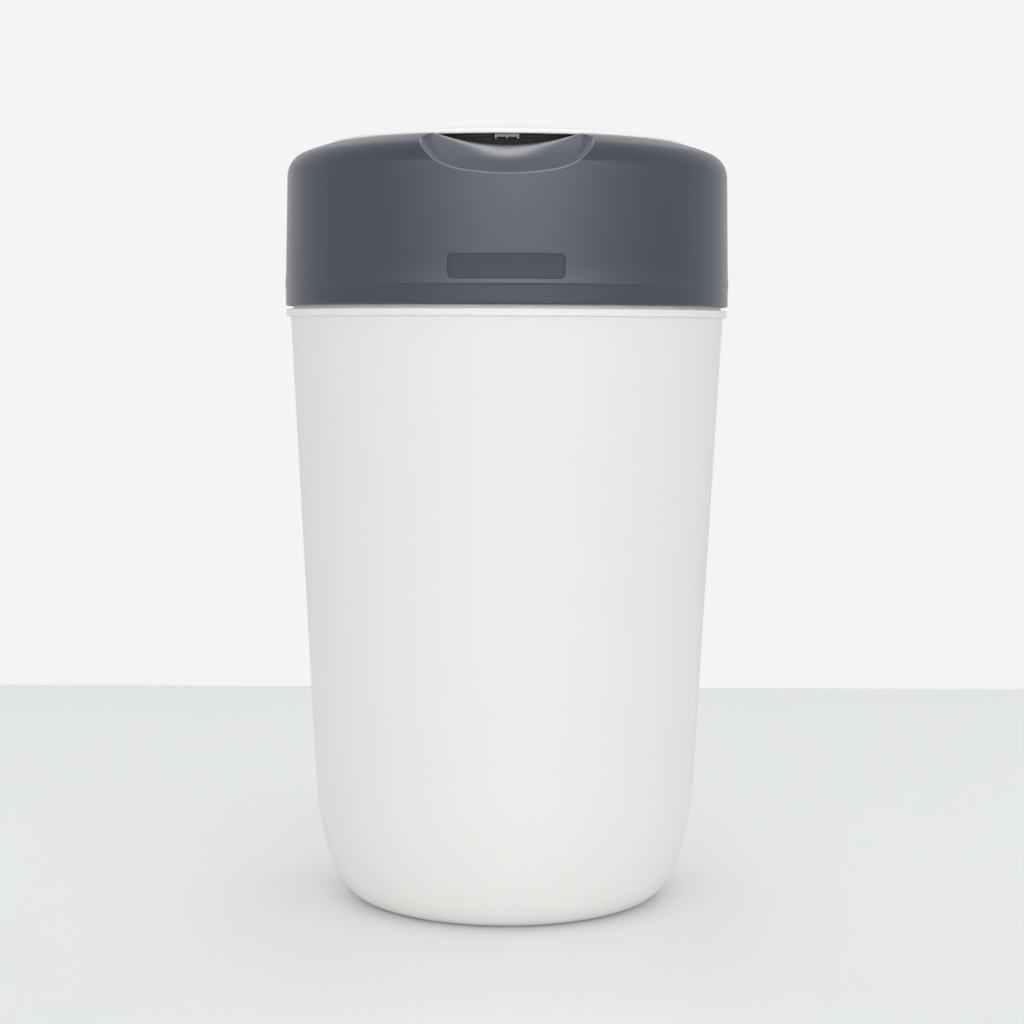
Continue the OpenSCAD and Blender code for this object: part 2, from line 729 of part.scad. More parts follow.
module cutter_blade() {
    blade_w = 8;
    color(steel)
        translate([slide_x + 3 - slide_l / 2, rail_y - 4 - 7, rail_z - 2.55]) linear_extrude(blade_t)
            polygon([[0, 8], [slide_l - 6, 8], [slide_l - 6, 2], [slide_l - 12, -3], [0, -3]]);
}

module rail_screws() {
    color(steel) at_rail_screws() translate([0, 0, rail_z + 1.4]) screw(rail_t, 1, 2.2, 1.2);
}

tub();
neck_seal();
head_cover();
well();
seat_ring();
cover_screws();
film_grip();
grip_screws();
drum();
cassette_tray();
cassette_core();
cassette_cap();
film_pack();
pawl_right();
pawl_left();
pawl_pins();
lid_cover();
lid_lining();
lid_seal();
lid_catch();
hinge_pin();
cutter_rail();
cutter_slide();
cutter_blade();
rail_screws();
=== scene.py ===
import json
from math import acos, atan2, cos, exp, hypot, pi, radians, sin, sqrt, tan

import bmesh
import bpy
from mathutils import Matrix, Vector


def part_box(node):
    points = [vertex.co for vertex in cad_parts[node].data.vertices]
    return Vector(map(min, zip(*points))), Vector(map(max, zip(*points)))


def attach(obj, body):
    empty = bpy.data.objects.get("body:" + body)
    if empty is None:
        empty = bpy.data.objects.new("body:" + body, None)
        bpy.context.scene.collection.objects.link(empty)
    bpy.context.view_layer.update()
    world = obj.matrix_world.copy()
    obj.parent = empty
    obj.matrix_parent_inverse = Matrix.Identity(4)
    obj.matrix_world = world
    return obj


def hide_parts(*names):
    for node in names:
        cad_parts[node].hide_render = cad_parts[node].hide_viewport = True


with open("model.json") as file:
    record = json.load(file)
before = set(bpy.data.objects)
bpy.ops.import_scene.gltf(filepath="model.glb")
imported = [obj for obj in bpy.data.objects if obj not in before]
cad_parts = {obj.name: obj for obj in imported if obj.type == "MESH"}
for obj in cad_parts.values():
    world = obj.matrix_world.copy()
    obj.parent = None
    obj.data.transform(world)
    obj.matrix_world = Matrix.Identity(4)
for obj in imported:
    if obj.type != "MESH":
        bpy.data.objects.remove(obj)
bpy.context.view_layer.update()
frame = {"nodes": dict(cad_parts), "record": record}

bl_info = {
    "name": "Nappy bin",
    "version": (1, 0, 0),
    "blender": (4, 5, 0),
    "location": "View3D > Sidebar > Nappy bin",
    "description": "Dresses the nappy bin's frame and sets its stage",
    "category": "Object",
}

MM = 0.001
BODY = {
    "tub": "tub_body",
    "head": "head_body",
    "drum": "drum_body",
    "lid": "lid_body",
    "cutter": "cutter_body",
}


# ---------------------------------------------------------------- properties


def length(name, text, default, low=0.0, high=1.0):
    return bpy.props.FloatProperty(
        name=name,
        description=text,
        default=default,
        min=low,
        max=high,
        unit="LENGTH",
        precision=4,
    )


def colour(name, text, default):
    return bpy.props.FloatVectorProperty(
        name=name, description=text, default=default, size=3, min=0.0, max=1.0, subtype="COLOR"
    )


def factor(name, text, default):
    return bpy.props.FloatProperty(
        name=name, description=text, default=default, min=0.0, max=1.0, subtype="FACTOR"
    )


class TubSizes(bpy.types.PropertyGroup):
    rim_z: length("Rim height", "Height of the rim band's upper face", 321.5 * MM)
    rim_band: length("Rim band", "Height of the rim band", 3.9 * MM)
    rim_out: length("Rim overhang", "How far the band stands out from the wall", 2.3 * MM)
    top_r: length("Top radius", "Radius of the wall under the rim band", 117.4 * MM)
    base_r: length("Base radius", "Radius that the wall would have at the floor", 101 * MM)
    corner_w: length("Corner width", "Width of the rounded bottom corner", 25 * MM)
    corner_h: length("Corner height", "Height of the rounded bottom corner", 68 * MM)
    wall: length("Wall", "Thickness of the wall", 2.4 * MM)
    neck_h: length("Neck", "Height of the neck inside the head", 16.5 * MM)
    neck_r: length("Neck radius", "Outer radius of the neck", 116.2 * MM)


class HeadSizes(bpy.types.PropertyGroup):
    edge_z: length("Edge height", "Height of the head's lower edge", 323.3 * MM)
    edge_r: length("Edge radius", "Radius of the head at its lower edge", 120.3 * MM)
    skirt_h: length("Skirt", "Height of the skirt under the shoulder", 69.3 * MM)
    draft: length("Draft", "Radius that the skirt loses over its height", 1.3 * MM)
    shoulder_r: length("Shoulder", "Rounding radius of the shoulder", 13 * MM)
    crown_r: length("Crown", "Radius of the crown's curve", 103 * MM)
    mouth_r: length("Mouth", "Radius of the mouth under the lid", 96 * MM)
    wall: length("Wall", "Thickness of the cover", 2.5 * MM)
    collar_h: length("Collar", "Depth of the collar in the mouth", 12 * MM)
    crease: length("Crease", "Width of the rounding on the scoop's crease", 0.6 * MM)
    swell: length("Swell", "How far the skirt swells over its lower band", 0.3 * MM)
    band_h: length("Lower band", "Height of the band under the swell", 10.5 * MM)
    band_in: length("Band taper", "Radius that the lower band loses down to the edge", 0.25 * MM)
    badge_w: length("Badge width", "Width of the bare recess on the front", 58.4 * MM)
    badge_h: length("Badge height", "Height of the recess", 12.4 * MM)
    badge_z: length("Badge place", "Height of the recess's middle", 342 * MM)
    badge_corner: length("Badge corner", "Corner radius of the recess", 3 * MM)
    badge_depth: length("Badge depth", "Depth of the recess", 0.6 * MM)


class ScoopSizes(bpy.types.PropertyGroup):
    radius: length("Radius", "Radius of the scoop's outline", 45.8 * MM)
    fillet: length("Fillet", "Rounding between the scoop's floor and side", 9.2 * MM)
    bow: length("Bow", "Rise of the floor from its middle to that rounding", 1 * MM)
    hollow: length("Hollow", "Depth of the finger's hollow in the middle of the floor", 1.2 * MM)
    hollow_w: length("Hollow width", "Half the width of that hollow", 20 * MM)
    reach: length("Reach", "Distance of the scoop's middle before the axis", 91.9 * MM)
    drop: length("Drop", "Depth of the scoop's middle under the mouth", 3.5 * MM)
    tilt: bpy.props.FloatProperty(
        name="Tilt",
        description="Tilt of the scoop's floor",
        default=radians(35.6),
        min=radians(32),
        max=radians(38),
        subtype="ANGLE",
    )


class LidSizes(bpy.types.PropertyGroup):
    radius: length("Radius", "Radius of the lid", 95.4 * MM)
    edge_h: length("Edge", "Height of the lid's upright edge", 2.6 * MM)
    rise: length("Rise", "Rise of the dome over the edge", 7 * MM)
    wall: length("Wall", "Thickness of the lid", 2 * MM)
    hinge_y: length("Hinge place", "Distance of the hinge behind the axis", 92.6 * MM)
    hinge_w: length("Hinge width", "Width over the hinge's lugs", 36 * MM)


class Finishes(bpy.types.PropertyGroup):
    white: colour("White", "Colour of the tub and the lid's lining", (0.83, 0.812, 0.797))
    # painted light: the lid's white is a lighter copy of the tub's white, so that the up-facing lid reads brighter as
    # light falls on it
    lid_lit_white: colour("Lid white", "Colour of the lid, a cleaner white than the tub's", (0.93, 0.927, 0.92))
    slate: colour("Slate", "Colour of the head", (0.047, 0.055, 0.081))
    black: colour("Black", "Colour of the well and the seat ring", (0.008, 0.008, 0.0095))
    # painted shade: this grey is darker than the plastic's own grey, so that the catch under the lid's edge reads
    # shaded; the drum and the grip share it
    grey_and_catch_shade: colour("Grey", "Colour of the drum, the grip and the catch", (0.28, 0.285, 0.30))
    film: colour("Film", "Colour of the film", (0.70, 0.78, 0.70))
    accent: colour("Accent", "Colour of the cutter's slide", (0.62, 0.40, 0.07))
    rubber: colour("Rubber", "Colour of the seals", (0.03, 0.03, 0.032))
    steel: colour("Steel", "Colour of the screws and pins", (0.55, 0.55, 0.56))
    slate_roughness: factor("Slate roughness", "How rough the head is", 0.21)
    white_roughness: factor("White roughness", "How rough the tub is", 0.42)


class StageSettings(bpy.types.PropertyGroup):
    camera_y: length("Camera distance", "Distance of the camera before the bin", 1.2, 0.3, 4)
    camera_z: length("Camera height", "Height of the camera", 309.5 * MM)
    camera_x: length("Camera side", "How far the camera stands to the right", 3.3 * MM)
    wall_y: length("Backdrop", "Distance of the backdrop behind the bin", 695 * MM, 0.3, 4)
    pitch: bpy.props.FloatProperty(
        name="Camera pitch", description="How far the camera looks down", default=radians(4.7), subtype="ANGLE"
    )
    lens: bpy.props.FloatProperty(
        name="Lens", description="Focal length on a 36 mm sensor", default=76.85, min=20, max=200
    )
    roll: bpy.props.FloatProperty(
        name="Camera roll", description="How far the camera leans to its left", default=radians(0.25), subtype="ANGLE"
    )
    glow: bpy.props.FloatProperty(
        name="Front glow", description="Strength of the soft glow in front", default=4.2, min=0, max=10
    )
    glow_turn: bpy.props.FloatProperty(
        name="Glow direction", description="How far the glow stands to the right", default=radians(5), subtype="ANGLE"
    )
    top: bpy.props.FloatProperty(
        name="Top light", description="Power of the overhead light in watts", default=1.3, min=0, max=200
    )
    high: bpy.props.FloatProperty(
        name="High light", description="Power of the light high in front in watts", default=4, min=0, max=200
    )
    sky: factor("Sky", "Strength of the light from all around", 0.645)


GROUPS = (TubSizes, HeadSizes, ScoopSizes, LidSizes, Finishes, StageSettings)
SETTINGS = {
    "bin_tub": TubSizes,
    "bin_head": HeadSizes,
    "bin_scoop": ScoopSizes,
    "bin_lid": LidSizes,
    "bin_finish": Finishes,
    "bin_stage": StageSettings,
}


# ------------------------------------------------------------------- shaders


class Num:
    """A value socket that arithmetic can be written with."""

    def __init__(self, tree, socket):
        self.tree = tree
        self.socket = socket

    def _math(self, operation, first, second=None, clamp=False):
        node = self.tree.nodes.new("ShaderNodeMath")
        node.operation = operation
        node.use_clamp = clamp
        for slot, value in zip(node.inputs, (first, second)):
            if isinstance(value, Num):
                self.tree.links.new(value.socket, slot)
            elif value is not None:
                slot.default_value = value
        return Num(self.tree, node.outputs[0])

    def __add__(self, other):
        return self._math("ADD", self, other)

    def __radd__(self, other):
        return self._math("ADD", other, self)

    def __sub__(self, other):
        return self._math("SUBTRACT", self, other)

    def __rsub__(self, other):
        return self._math("SUBTRACT", other, self)

    def __mul__(self, other):
        return self._math("MULTIPLY", self, other)

    def __rmul__(self, other):
        return self._math("MULTIPLY", other, self)

    def over(self, level):
        return self._math("GREATER_THAN", self, level)

    def under(self, level):
        return self._math("LESS_THAN", self, level)

    def clamped(self):
        return self._math("ADD", self, 0.0, True)


class Wiring:
    """Short ways to add nodes to a tree."""

    def __init__(self, tree):
        self.tree = tree

    def node(self, kind, settings=None, inputs=None):
        node = self.tree.nodes.new(kind)
        for key, value in (settings or {}).items():
            setattr(node, key, value)
        self.feed(node, inputs or {})
        return node

    def feed(self, node, inputs):
        for key, value in inputs.items():
            if isinstance(value, Num):
                value = value.socket
            if isinstance(value, bpy.types.NodeSocket):
                self.tree.links.new(value, node.inputs[key])
            else:
                node.inputs[key].default_value = value

    def feed_indexed(self, node, inputs):
        for index, value in inputs.items():
            if isinstance(value, Num):
                value = value.socket
            if isinstance(value, bpy.types.NodeSocket):
                self.tree.links.new(value, node.inputs[index])
            else:
                node.inputs[index].default_value = value

    def maths(self, operation, first, second=0.0):
        node = self.node("ShaderNodeMath", {"operation": operation})
        self.feed_indexed(node, {0: first, 1: second})
        return Num(self.tree, node.outputs[0])

    def parts(self, vector):
        """The three parts of a vector."""
        node = self.node("ShaderNodeSeparateXYZ", None, {"Vector": vector})
        return [Num(self.tree, socket) for socket in node.outputs]

    def ramp(self, value, low, high):
        node = self.node(
            "ShaderNodeMapRange", {"clamp": True}, {"Value": value, "From Min": low, "From Max": high}
        )
        return Num(self.tree, node.outputs["Result"])

    def blend(self, amount, first, second):
        node = self.node("ShaderNodeMix", {"data_type": "RGBA"})
        self.feed_indexed(node, {0: amount, 6: first, 7: second})
        return node.outputs[2]


class Finish(Wiring):
    """A material with a plain shader and the object's own coordinates."""

    def __init__(self, name):
        self.material = bpy.data.materials.new(name)
        self.material.use_nodes = True
        super().__init__(self.material.node_tree)
        self.shader = self.tree.nodes["Principled BSDF"]
        self.place = self.node("ShaderNodeTexCoord").outputs["Object"]

    def noise(self, size, detail=2.0, rough=0.5, stretch=(1, 1, 1)):
        """Noise whose lumps are about size metres across."""
        at = self.node(
            "ShaderNodeMapping", None, {"Vector": self.place, "Scale": stretch}
        ).outputs[0]
        node = self.node(
            "ShaderNodeTexNoise",
            None,
            {"Vector": at, "Scale": 1 / size, "Detail": detail, "Roughness": rough},
        )
        return Num(self.tree, node.outputs["Fac"])

    def specks(self, size, keep):
        """Small separate dots, one in every cell of about size metres, where keep is the dot's share."""
        node = self.node(
            "ShaderNodeTexVoronoi", {"feature": "F1"}, {"Vector": self.place, "Scale": 1 / size}
        )
        return 1.0 - Num(self.tree, node.outputs["Distance"]).over(keep)

    def inside(self, value, low, high):
        """1 where a value lies between two levels, else 0."""
        return value.over(low) * value.under(high)

    def bump(self, height, distance, strength=1.0, before=None):
        inputs = {"Height": height, "Distance": distance, "Strength": strength}
        if before is not None:
            inputs["Normal"] = before
        return self.node("ShaderNodeBump", None, inputs).outputs[0]


def rgba(value, gain=1.0):
    return (value[0] * gain, value[1] * gain, value[2] * gain, 1.0)


def moulded(name, base, rough, grain=0.35 * MM, depth=0.012 * MM, flow=0.05, coat=0.0, specks=False, ior=1.49):
    """Moulded plastic: fine spark-eroded grain, slow tone changes from the melt's flow, and faint rub marks."""
    f = Finish(name)
    slow = f.noise(60 * MM, 3, 0.55, (1, 1, 0.5))
    tint = f.blend(slow, rgba(base, 1 - flow), rgba(base, 1 + flow))
    if specks:
        dots = f.specks(26 * MM, 0.012) * f.ramp(f.noise(80 * MM, 1), 0.45, 0.6)
        tint = f.blend(dots * 0.35, tint, rgba(base, 0.55))
    rub = f.ramp(f.noise(18 * MM, 4, 0.65, (1, 1, 3)), 0.45, 0.8)
    f.feed(f.shader, {"Base Color": tint, "Roughness": rough + rub * 0.06 - 0.02})
    fine = f.noise(grain, 2, 0.6)
    wave = f.noise(45 * MM, 2, 0.5)
    normal = f.bump(wave, 0.12 * MM)
    f.feed(f.shader, {"Normal": f.bump(fine, depth, 1.0, normal)})
    f.feed(f.shader, {"IOR": ior})
    if coat:
        f.feed(f.shader, {"Coat Roughness": 0.22})
        f.shader.inputs["Coat Weight"].default_value = coat
    return f.material


def slate_finish(name, base, rough):
    """The head's satin plastic: a moulded grain, a few specks of dust, a dull, darker badge recess, and a painted
    highlight, a light line along the scoop's crease.
    """
    head = bpy.context.scene.bin_head
    f = Finish(name)
    slow = f.noise(70 * MM, 3, 0.5, (1, 1, 0.6))
    tint = f.blend(slow, rgba(base, 0.965), rgba(base, 1.035))
    dots = f.specks(31 * MM, 0.011) * f.ramp(f.noise(90 * MM, 1), 0.5, 0.62)
    tint = f.blend(dots * 0.6, tint, rgba(base, 0.5))
    x, y, z = f.parts(f.place)
    deep = f.inside(x, -0.4985 * head.badge_w, 0.4985 * head.badge_w)
    deep = deep * f.inside(z, head.badge_z - 0.493 * head.badge_h, head.badge_z + 0.493 * head.badge_h)
    radius = f.maths("SQRT", x * x + y * y)
    fall = head.draft * (z - head.edge_z) * (1 / head.skirt_h)
    sunk = f.ramp((head.edge_r - head.badge_depth * 0.55) - fall - radius, -0.06 * MM, 0.06 * MM)
    deep = deep * sunk * y.under(0.0)
    tint = f.blend(deep * 0.6, tint, (0.016, 0.021, 0.038, 1))
    # painted highlight: a light line along the scoop's crease stands for the glint of its rounded edge
    crease_glint = Num(f.tree, f.node("ShaderNodeAttribute", {"attribute_name": "crease"}).outputs["Fac"])
    tint = f.blend(crease_glint, tint, (0.2, 0.205, 0.235, 1))
    rub = f.ramp(f.noise(16 * MM, 4, 0.65, (1, 1, 3)), 0.45, 0.8)
    f.feed(f.shader, {"Base Color": tint, "Roughness": rough + rub * 0.05 + deep * 0.2})
    fine = f.noise(0.45 * MM, 2, 0.6)
    wave = f.noise(40 * MM, 2, 0.5, (1, 1, 0.5))
    f.feed(f.shader, {"Normal": f.bump(fine, 0.007 * MM, 1.0, f.bump(wave, 0.1 * MM)), "IOR": 1.5})
    return f.material


def elastomer(name, base):
    """Soft rubber or elastomer: dull, with a dusty bloom."""
    f = Finish(name)
    dust = f.ramp(f.noise(6 * MM, 5, 0.7), 0.4, 0.75)
    f.feed(f.shader, {"Base Color": f.blend(dust * 0.4, rgba(base), rgba(base, 1.5)), "Roughness": 0.62 + dust * 0.16})
    f.feed(f.shader, {"Normal": f.bump(f.noise(0.5 * MM, 3, 0.6), 0.03 * MM)})
    return f.material


def plated(name, base):
    """Zinc-plated steel with fine turning marks."""
    f = Finish(name)
    streak = f.noise(1.2 * MM, 3, 0.6, (1, 1, 9))
    stain = f.ramp(f.noise(7 * MM, 3), 0.35, 0.8)
    f.feed(f.shader, {"Base Color": f.blend(stain, rgba(base), rgba(base, 0.75)), "Roughness": 0.26 + streak * 0.16})
    f.shader.inputs["Metallic"].default_value = 1.0
    f.feed(f.shader, {"Normal": f.bump(streak, 0.012 * MM)})
    return f.material


def thin_film(name, base):
    """Thin pleated film: slightly shiny, with crinkles."""
    f = Finish(name)
    crinkle = f.noise(3.5 * MM, 5, 0.65, (1, 1, 2.5))
    folds = f.noise(14 * MM, 3, 0.6, (1, 1, 4))
    f.feed(
        f.shader,
        {"Base Color": f.blend(crinkle, rgba(base, 0.86), rgba(base, 1.1)), "Roughness": 0.24 + folds * 0.22},
    )
    f.feed(f.shader, {"Normal": f.bump(crinkle, 0.35 * MM, 1.0, f.bump(folds, 0.5 * MM))})
    return f.material


MATERIALS = {}


def material(slot):
    """The finish of a record slot, or the lid's white, made once. The lid's white is painted light: a lighter copy of
    the tub's white, so that the up-facing lid reads brighter as light falls on it.
    """
    if slot in MATERIALS:
        return MATERIALS[slot]
    c = bpy.context.scene.bin_finish
    made = {
        "white_plastic": lambda: moulded(
            "white_plastic", c.white, c.white_roughness, 0.5 * MM, 0.006 * MM, 0.012, 0.12, True
        ),
        "lid_lit_white": lambda: moulded(
            "lid_lit_white", c.lid_lit_white, c.white_roughness, 0.5 * MM, 0.006 * MM, 0.006, 0.12
        ),
        "slate_plastic": lambda: slate_finish("slate_plastic", c.slate, c.slate_roughness),
        "black_plastic": lambda: moulded("black_plastic", c.black, 0.5, 0.5 * MM, 0.02 * MM, 0.08, ior=1.33),
        "grey_plastic": lambda: moulded("grey_plastic", c.grey_and_catch_shade, 0.4, 0.5 * MM, 0.012 * MM, 0.03),
        "accent_plastic": lambda: moulded("accent_plastic", c.accent, 0.4, 0.5 * MM, 0.012 * MM, 0.04),
        "film": lambda: thin_film("film", c.film),
        "rubber": lambda: elastomer("rubber", c.rubber),
        "steel": lambda: plated("steel", c.steel),
    }[slot]()
    MATERIALS[slot] = made
    return made


# -------------------------------------------------------------------- meshes


def place_piece(name, mesh, slot, body, *nodes, finish=None):
    """Links a mesh as a piece that rides on a body and stands for CAD nodes."""
    piece = bpy.data.objects.new(name, mesh)
    bpy.context.scene.collection.objects.link(piece)
    mesh.materials.clear()
    mesh.materials.append(material(finish or slot))
    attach(piece, BODY[body])
    if nodes:
        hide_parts(*nodes)
    return piece


def dress_node(name, slot):
    """Gives a CAD node that keeps its own shape its finish."""
    node = frame["nodes"][name]
    node.data.materials.clear()
    node.data.materials.append(material(slot))
    return node


def new_mesh(name, verts, faces, smooth=True):
    mesh = bpy.data.meshes.new(name)
    mesh.from_pydata(verts, [], faces)
    mesh.update()
    if smooth:
        mesh.shade_smooth()
    return mesh


def arc(mid, r, start, end, n):
    """Points on an arc, with its angles in degrees."""
    out = []
    for i in range(n + 1):
        a = radians(start + (end - start) * i / n)
        out.append((mid[0] + r * cos(a), mid[1] + r * sin(a)))
    return out


def cubic(p0, p1, p2, p3, n):
    out = []
    for i in range(n + 1):
        t = i / n
        u = 1 - t
        w = (u * u * u, 3 * u * u * t, 3 * u * t * t, t * t * t)
        out.append(tuple(sum(k * p[j] for k, p in zip(w, (p0, p1, p2, p3))) for j in (0, 1)))
    return out


def eased(corners, n=5):
    """A profile whose corners (r, z, rounding) are rounded off."""
    out = []
    count = len(corners)
    for i, (x, z, rounding) in enumerate(corners):
        here = Vector((x, z))
        if not rounding or i in (0, count - 1):
            out.append((x, z))
            continue
        before = Vector(corners[i - 1][:2])
        after = Vector(corners[i + 1][:2])
        a = (before - here).normalized()
        b = (after - here).normalized()
        half = a.angle(b) / 2
        if half > radians(88):
            out.append((x, z))
            continue
        reach = min(rounding / tan(half), (before - here).length * 0.49, (after - here).length * 0.49)
        p, q = here + a * reach, here + b * reach
        for k in range(n + 1):
            t = k / n
            point = p * (1 - t) ** 2 + here * 2 * t * (1 - t) + q * t * t
            out.append((point.x, point.y))
    return out


def turned(name, profile, steps=240, closed=False):
    """A mesh that is turned about the Z axis. A closed profile is a ring's section."""
    verts, rows = [], []
    for r, z in profile:
        if r < 1e-7:
            rows.append([len(verts)])
            verts.append((0, 0, z))
            continue
        rows.append(range(len(verts), len(verts) + steps))
        for k in range(steps):
            a = 2 * pi * k / steps
            verts.append((r * cos(a), r * sin(a), z))
    faces = []
    pairs = list(zip(rows, rows[1:])) + ([(rows[-1], rows[0])] if closed else [])
    for low, high in pairs:
        for k in range(steps):
            j = (k + 1) % steps
            if len(low) == 1:
                faces.append((low[0], high[j], high[k]))
            elif len(high) == 1:
                faces.append((low[k], low[j], high[0]))
            else:
                faces.append((low[k], low[j], high[j], high[k]))
    mesh = new_mesh(name, verts, faces)
    face_out(mesh)
    return mesh


def face_out(mesh):
    bm = bmesh.new()
    bm.from_mesh(mesh)
    bmesh.ops.remove_doubles(bm, verts=bm.verts, dist=1e-7)
    bmesh.ops.recalc_face_normals(bm, faces=bm.faces)
    bm.to_mesh(mesh)
    bm.free()


def even_shading(piece, angle=40):
    """Weights the normals by face size, and keeps edges sharper than angle crisp."""
    piece.data.set_sharp_from_angle(angle=radians(angle))
    weights = piece.modifiers.new("even shading", "WEIGHTED_NORMAL")
    weights.keep_sharp = True
    return piece


def loose(mesh):
    """A short-lived object for a mesh that is still being made."""
    thing = bpy.data.objects.new("in_work", mesh)
    bpy.context.scene.collection.objects.link(thing)
    return thing


def finished(thing):
    """The mesh of a short-lived object with its modifiers applied."""
    bpy.context.view_layer.update()
    graph = bpy.context.evaluated_depsgraph_get()
    mesh = bpy.data.meshes.new_from_object(thing.evaluated_get(graph))
    mesh.name = thing.data.name
    bpy.data.objects.remove(thing)
    return mesh


def combine(mesh, others, operation="DIFFERENCE"):
    """Cuts other meshes from a mesh, or joins them to it."""
    thing = loose(mesh)
    tools = [loose(other) for other in others]
    for tool in tools:
        step = thing.modifiers.new("cut", "BOOLEAN")
        step.operation = operation
        step.object = tool
        step.solver = "EXACT"
    made = finished(thing)
    for tool in tools:
        bpy.data.objects.remove(tool)
    return made


def softened(mesh, width, segments=3, angle=35):
    """Rounds the edges of a mesh that are sharper than angle."""
    thing = loose(mesh)
    step = thing.modifiers.new("rounding", "BEVEL")
    step.width = width
    step.segments = segments
    step.limit_method = "ANGLE"
    step.angle_limit = radians(angle)
    step.harden_normals = False
    made = finished(thing)
    made.shade_smooth()
    return made


def block(low, high):
    """A box between two corners, in millimetres."""
    bm = bmesh.new()
    bmesh.ops.create_cube(bm, size=1)
    for v in bm.verts:
        v.co = Vector([(a + (b - a) * (c + 0.5)) * MM for a, b, c in zip(low, high, v.co)])
    mesh = bpy.data.meshes.new("block")
    bm.to_mesh(mesh)
    bm.free()
    return mesh


def rod(start, end, r, steps=48):
    """A round bar between two points, in millimetres."""
    a, b = Vector(start) * MM, Vector(end) * MM
    bm = bmesh.new()
    bmesh.ops.create_cone(
        bm, cap_ends=True, segments=steps, radius1=r * MM, radius2=r * MM, depth=(b - a).length
    )
    turn = Vector((0, 0, 1)).rotation_difference(b - a).to_matrix().to_4x4()
    bm.transform(Matrix.Translation((a + b) / 2) @ turn)
    mesh = bpy.data.meshes.new("rod")
    bm.to_mesh(mesh)
    bm.free()
    return mesh


def joined(meshes, name):
    """Several meshes as one, each still a shell of its own."""
    bm = bmesh.new()
    for mesh in meshes:
        bm.from_mesh(mesh)
    out = bpy.data.meshes.new(name)
    bm.to_mesh(out)
    bm.free()
    out.shade_smooth()
    return out


# --------------------------------------------------------------------- tools


class PieceOperator:
    bl_options = {"REGISTER", "UNDO"}

    def execute(self, context):
        self.make(context.scene)
        return {"FINISHED"}


def tub_wall_line(s, inset, top, n=36):
    """The tub's side from its foot to a height, moved in by inset."""
    lean = (s.top_r - s.base_r) / (s.rim_z - s.rim_band)
    foot = (s.base_r - s.corner_w, inset)
    side = (s.base_r + lean * s.corner_h - inset, s.corner_h)
    pull = 0.56 * (s.corner_h - inset)
    low = (foot[0] + 0.62 * (side[0] - foot[0]), inset)
    high = (side[0] - lean * pull, side[1] - pull)
    line = cubic(foot, low, high, side, n)
    steps = 24
    for i in range(1, steps + 1):
        z = s.corner_h + (top - s.corner_h) * i / steps
        line.append((s.base_r + lean * z - inset, z))
    return line


class NAPPYBIN_OT_tub(PieceOperator, bpy.types.Operator):
    """Makes the white tub with its rim band, neck and foot ring"""

    bl_idname = "nappybin.tub"
    bl_label = "Tub"

    def make(self, scene):
        s = scene.bin_tub
        under = s.rim_z - s.rim_band
        band = s.top_r + s.rim_out
        foot = s.base_r - s.corner_w
        neck = s.neck_r
        neck_top = s.rim_z + s.neck_h
        hollow = 1.6 * MM
        ring = 9 * MM
        outside = tub_wall_line(s, 0, under - 0.5 * MM)
        outside += [(s.top_r + 0.12 * MM, under - 0.14 * MM), (s.top_r + 0.5 * MM, under)]
        outside += arc((band - 0.7 * MM, under + 0.7 * MM), 0.7 * MM, -90, 0, 5)
        outside += arc((band - 0.8 * MM, s.rim_z - 0.8 * MM), 0.8 * MM, 0, 90, 5)
        top = eased(
            [
                (band - 0.9 * MM, s.rim_z, 0),
                (neck, s.rim_z, 0.3 * MM),
                (neck, neck_top - 1 * MM, 0.4 * MM),
                (neck - 0.8 * MM, neck_top, 0.3 * MM),
                (neck - s.wall, neck_top, 0.4 * MM),
                (neck - s.wall, under + 1 * MM, 1 * MM),
                (s.top_r - s.wall - 0.2 * MM, under - 5.5 * MM, 2 * MM),
                (s.top_r - s.wall - 0.5 * MM, under - 9 * MM, 0),
            ],
            4,
        )
        inside = tub_wall_line(s, s.wall, under - 10 * MM)[::-1]
        inside = [(r, z) for r, z in inside if z > s.wall + hollow]
        floor = [(foot - 2 * MM, s.wall + hollow), (foot * 0.5, s.wall + hollow), (0, s.wall + hollow)]
        foot_in = foot - ring
        base = eased(
            [
                (0, hollow, 0),
                (8 * MM, hollow, 0),
                (foot_in - hollow - 2 * MM, hollow, 1 * MM),
                (foot_in, 0, 0.8 * MM),
                (foot - 1 * MM, 0, 0),
            ],
            4,
        )
        mesh = turned("tub_shell", base + outside + top + inside + floor, 288)
        even_shading(place_piece("tub_shell", mesh, "white_plastic", "tub", "tub"), 50)


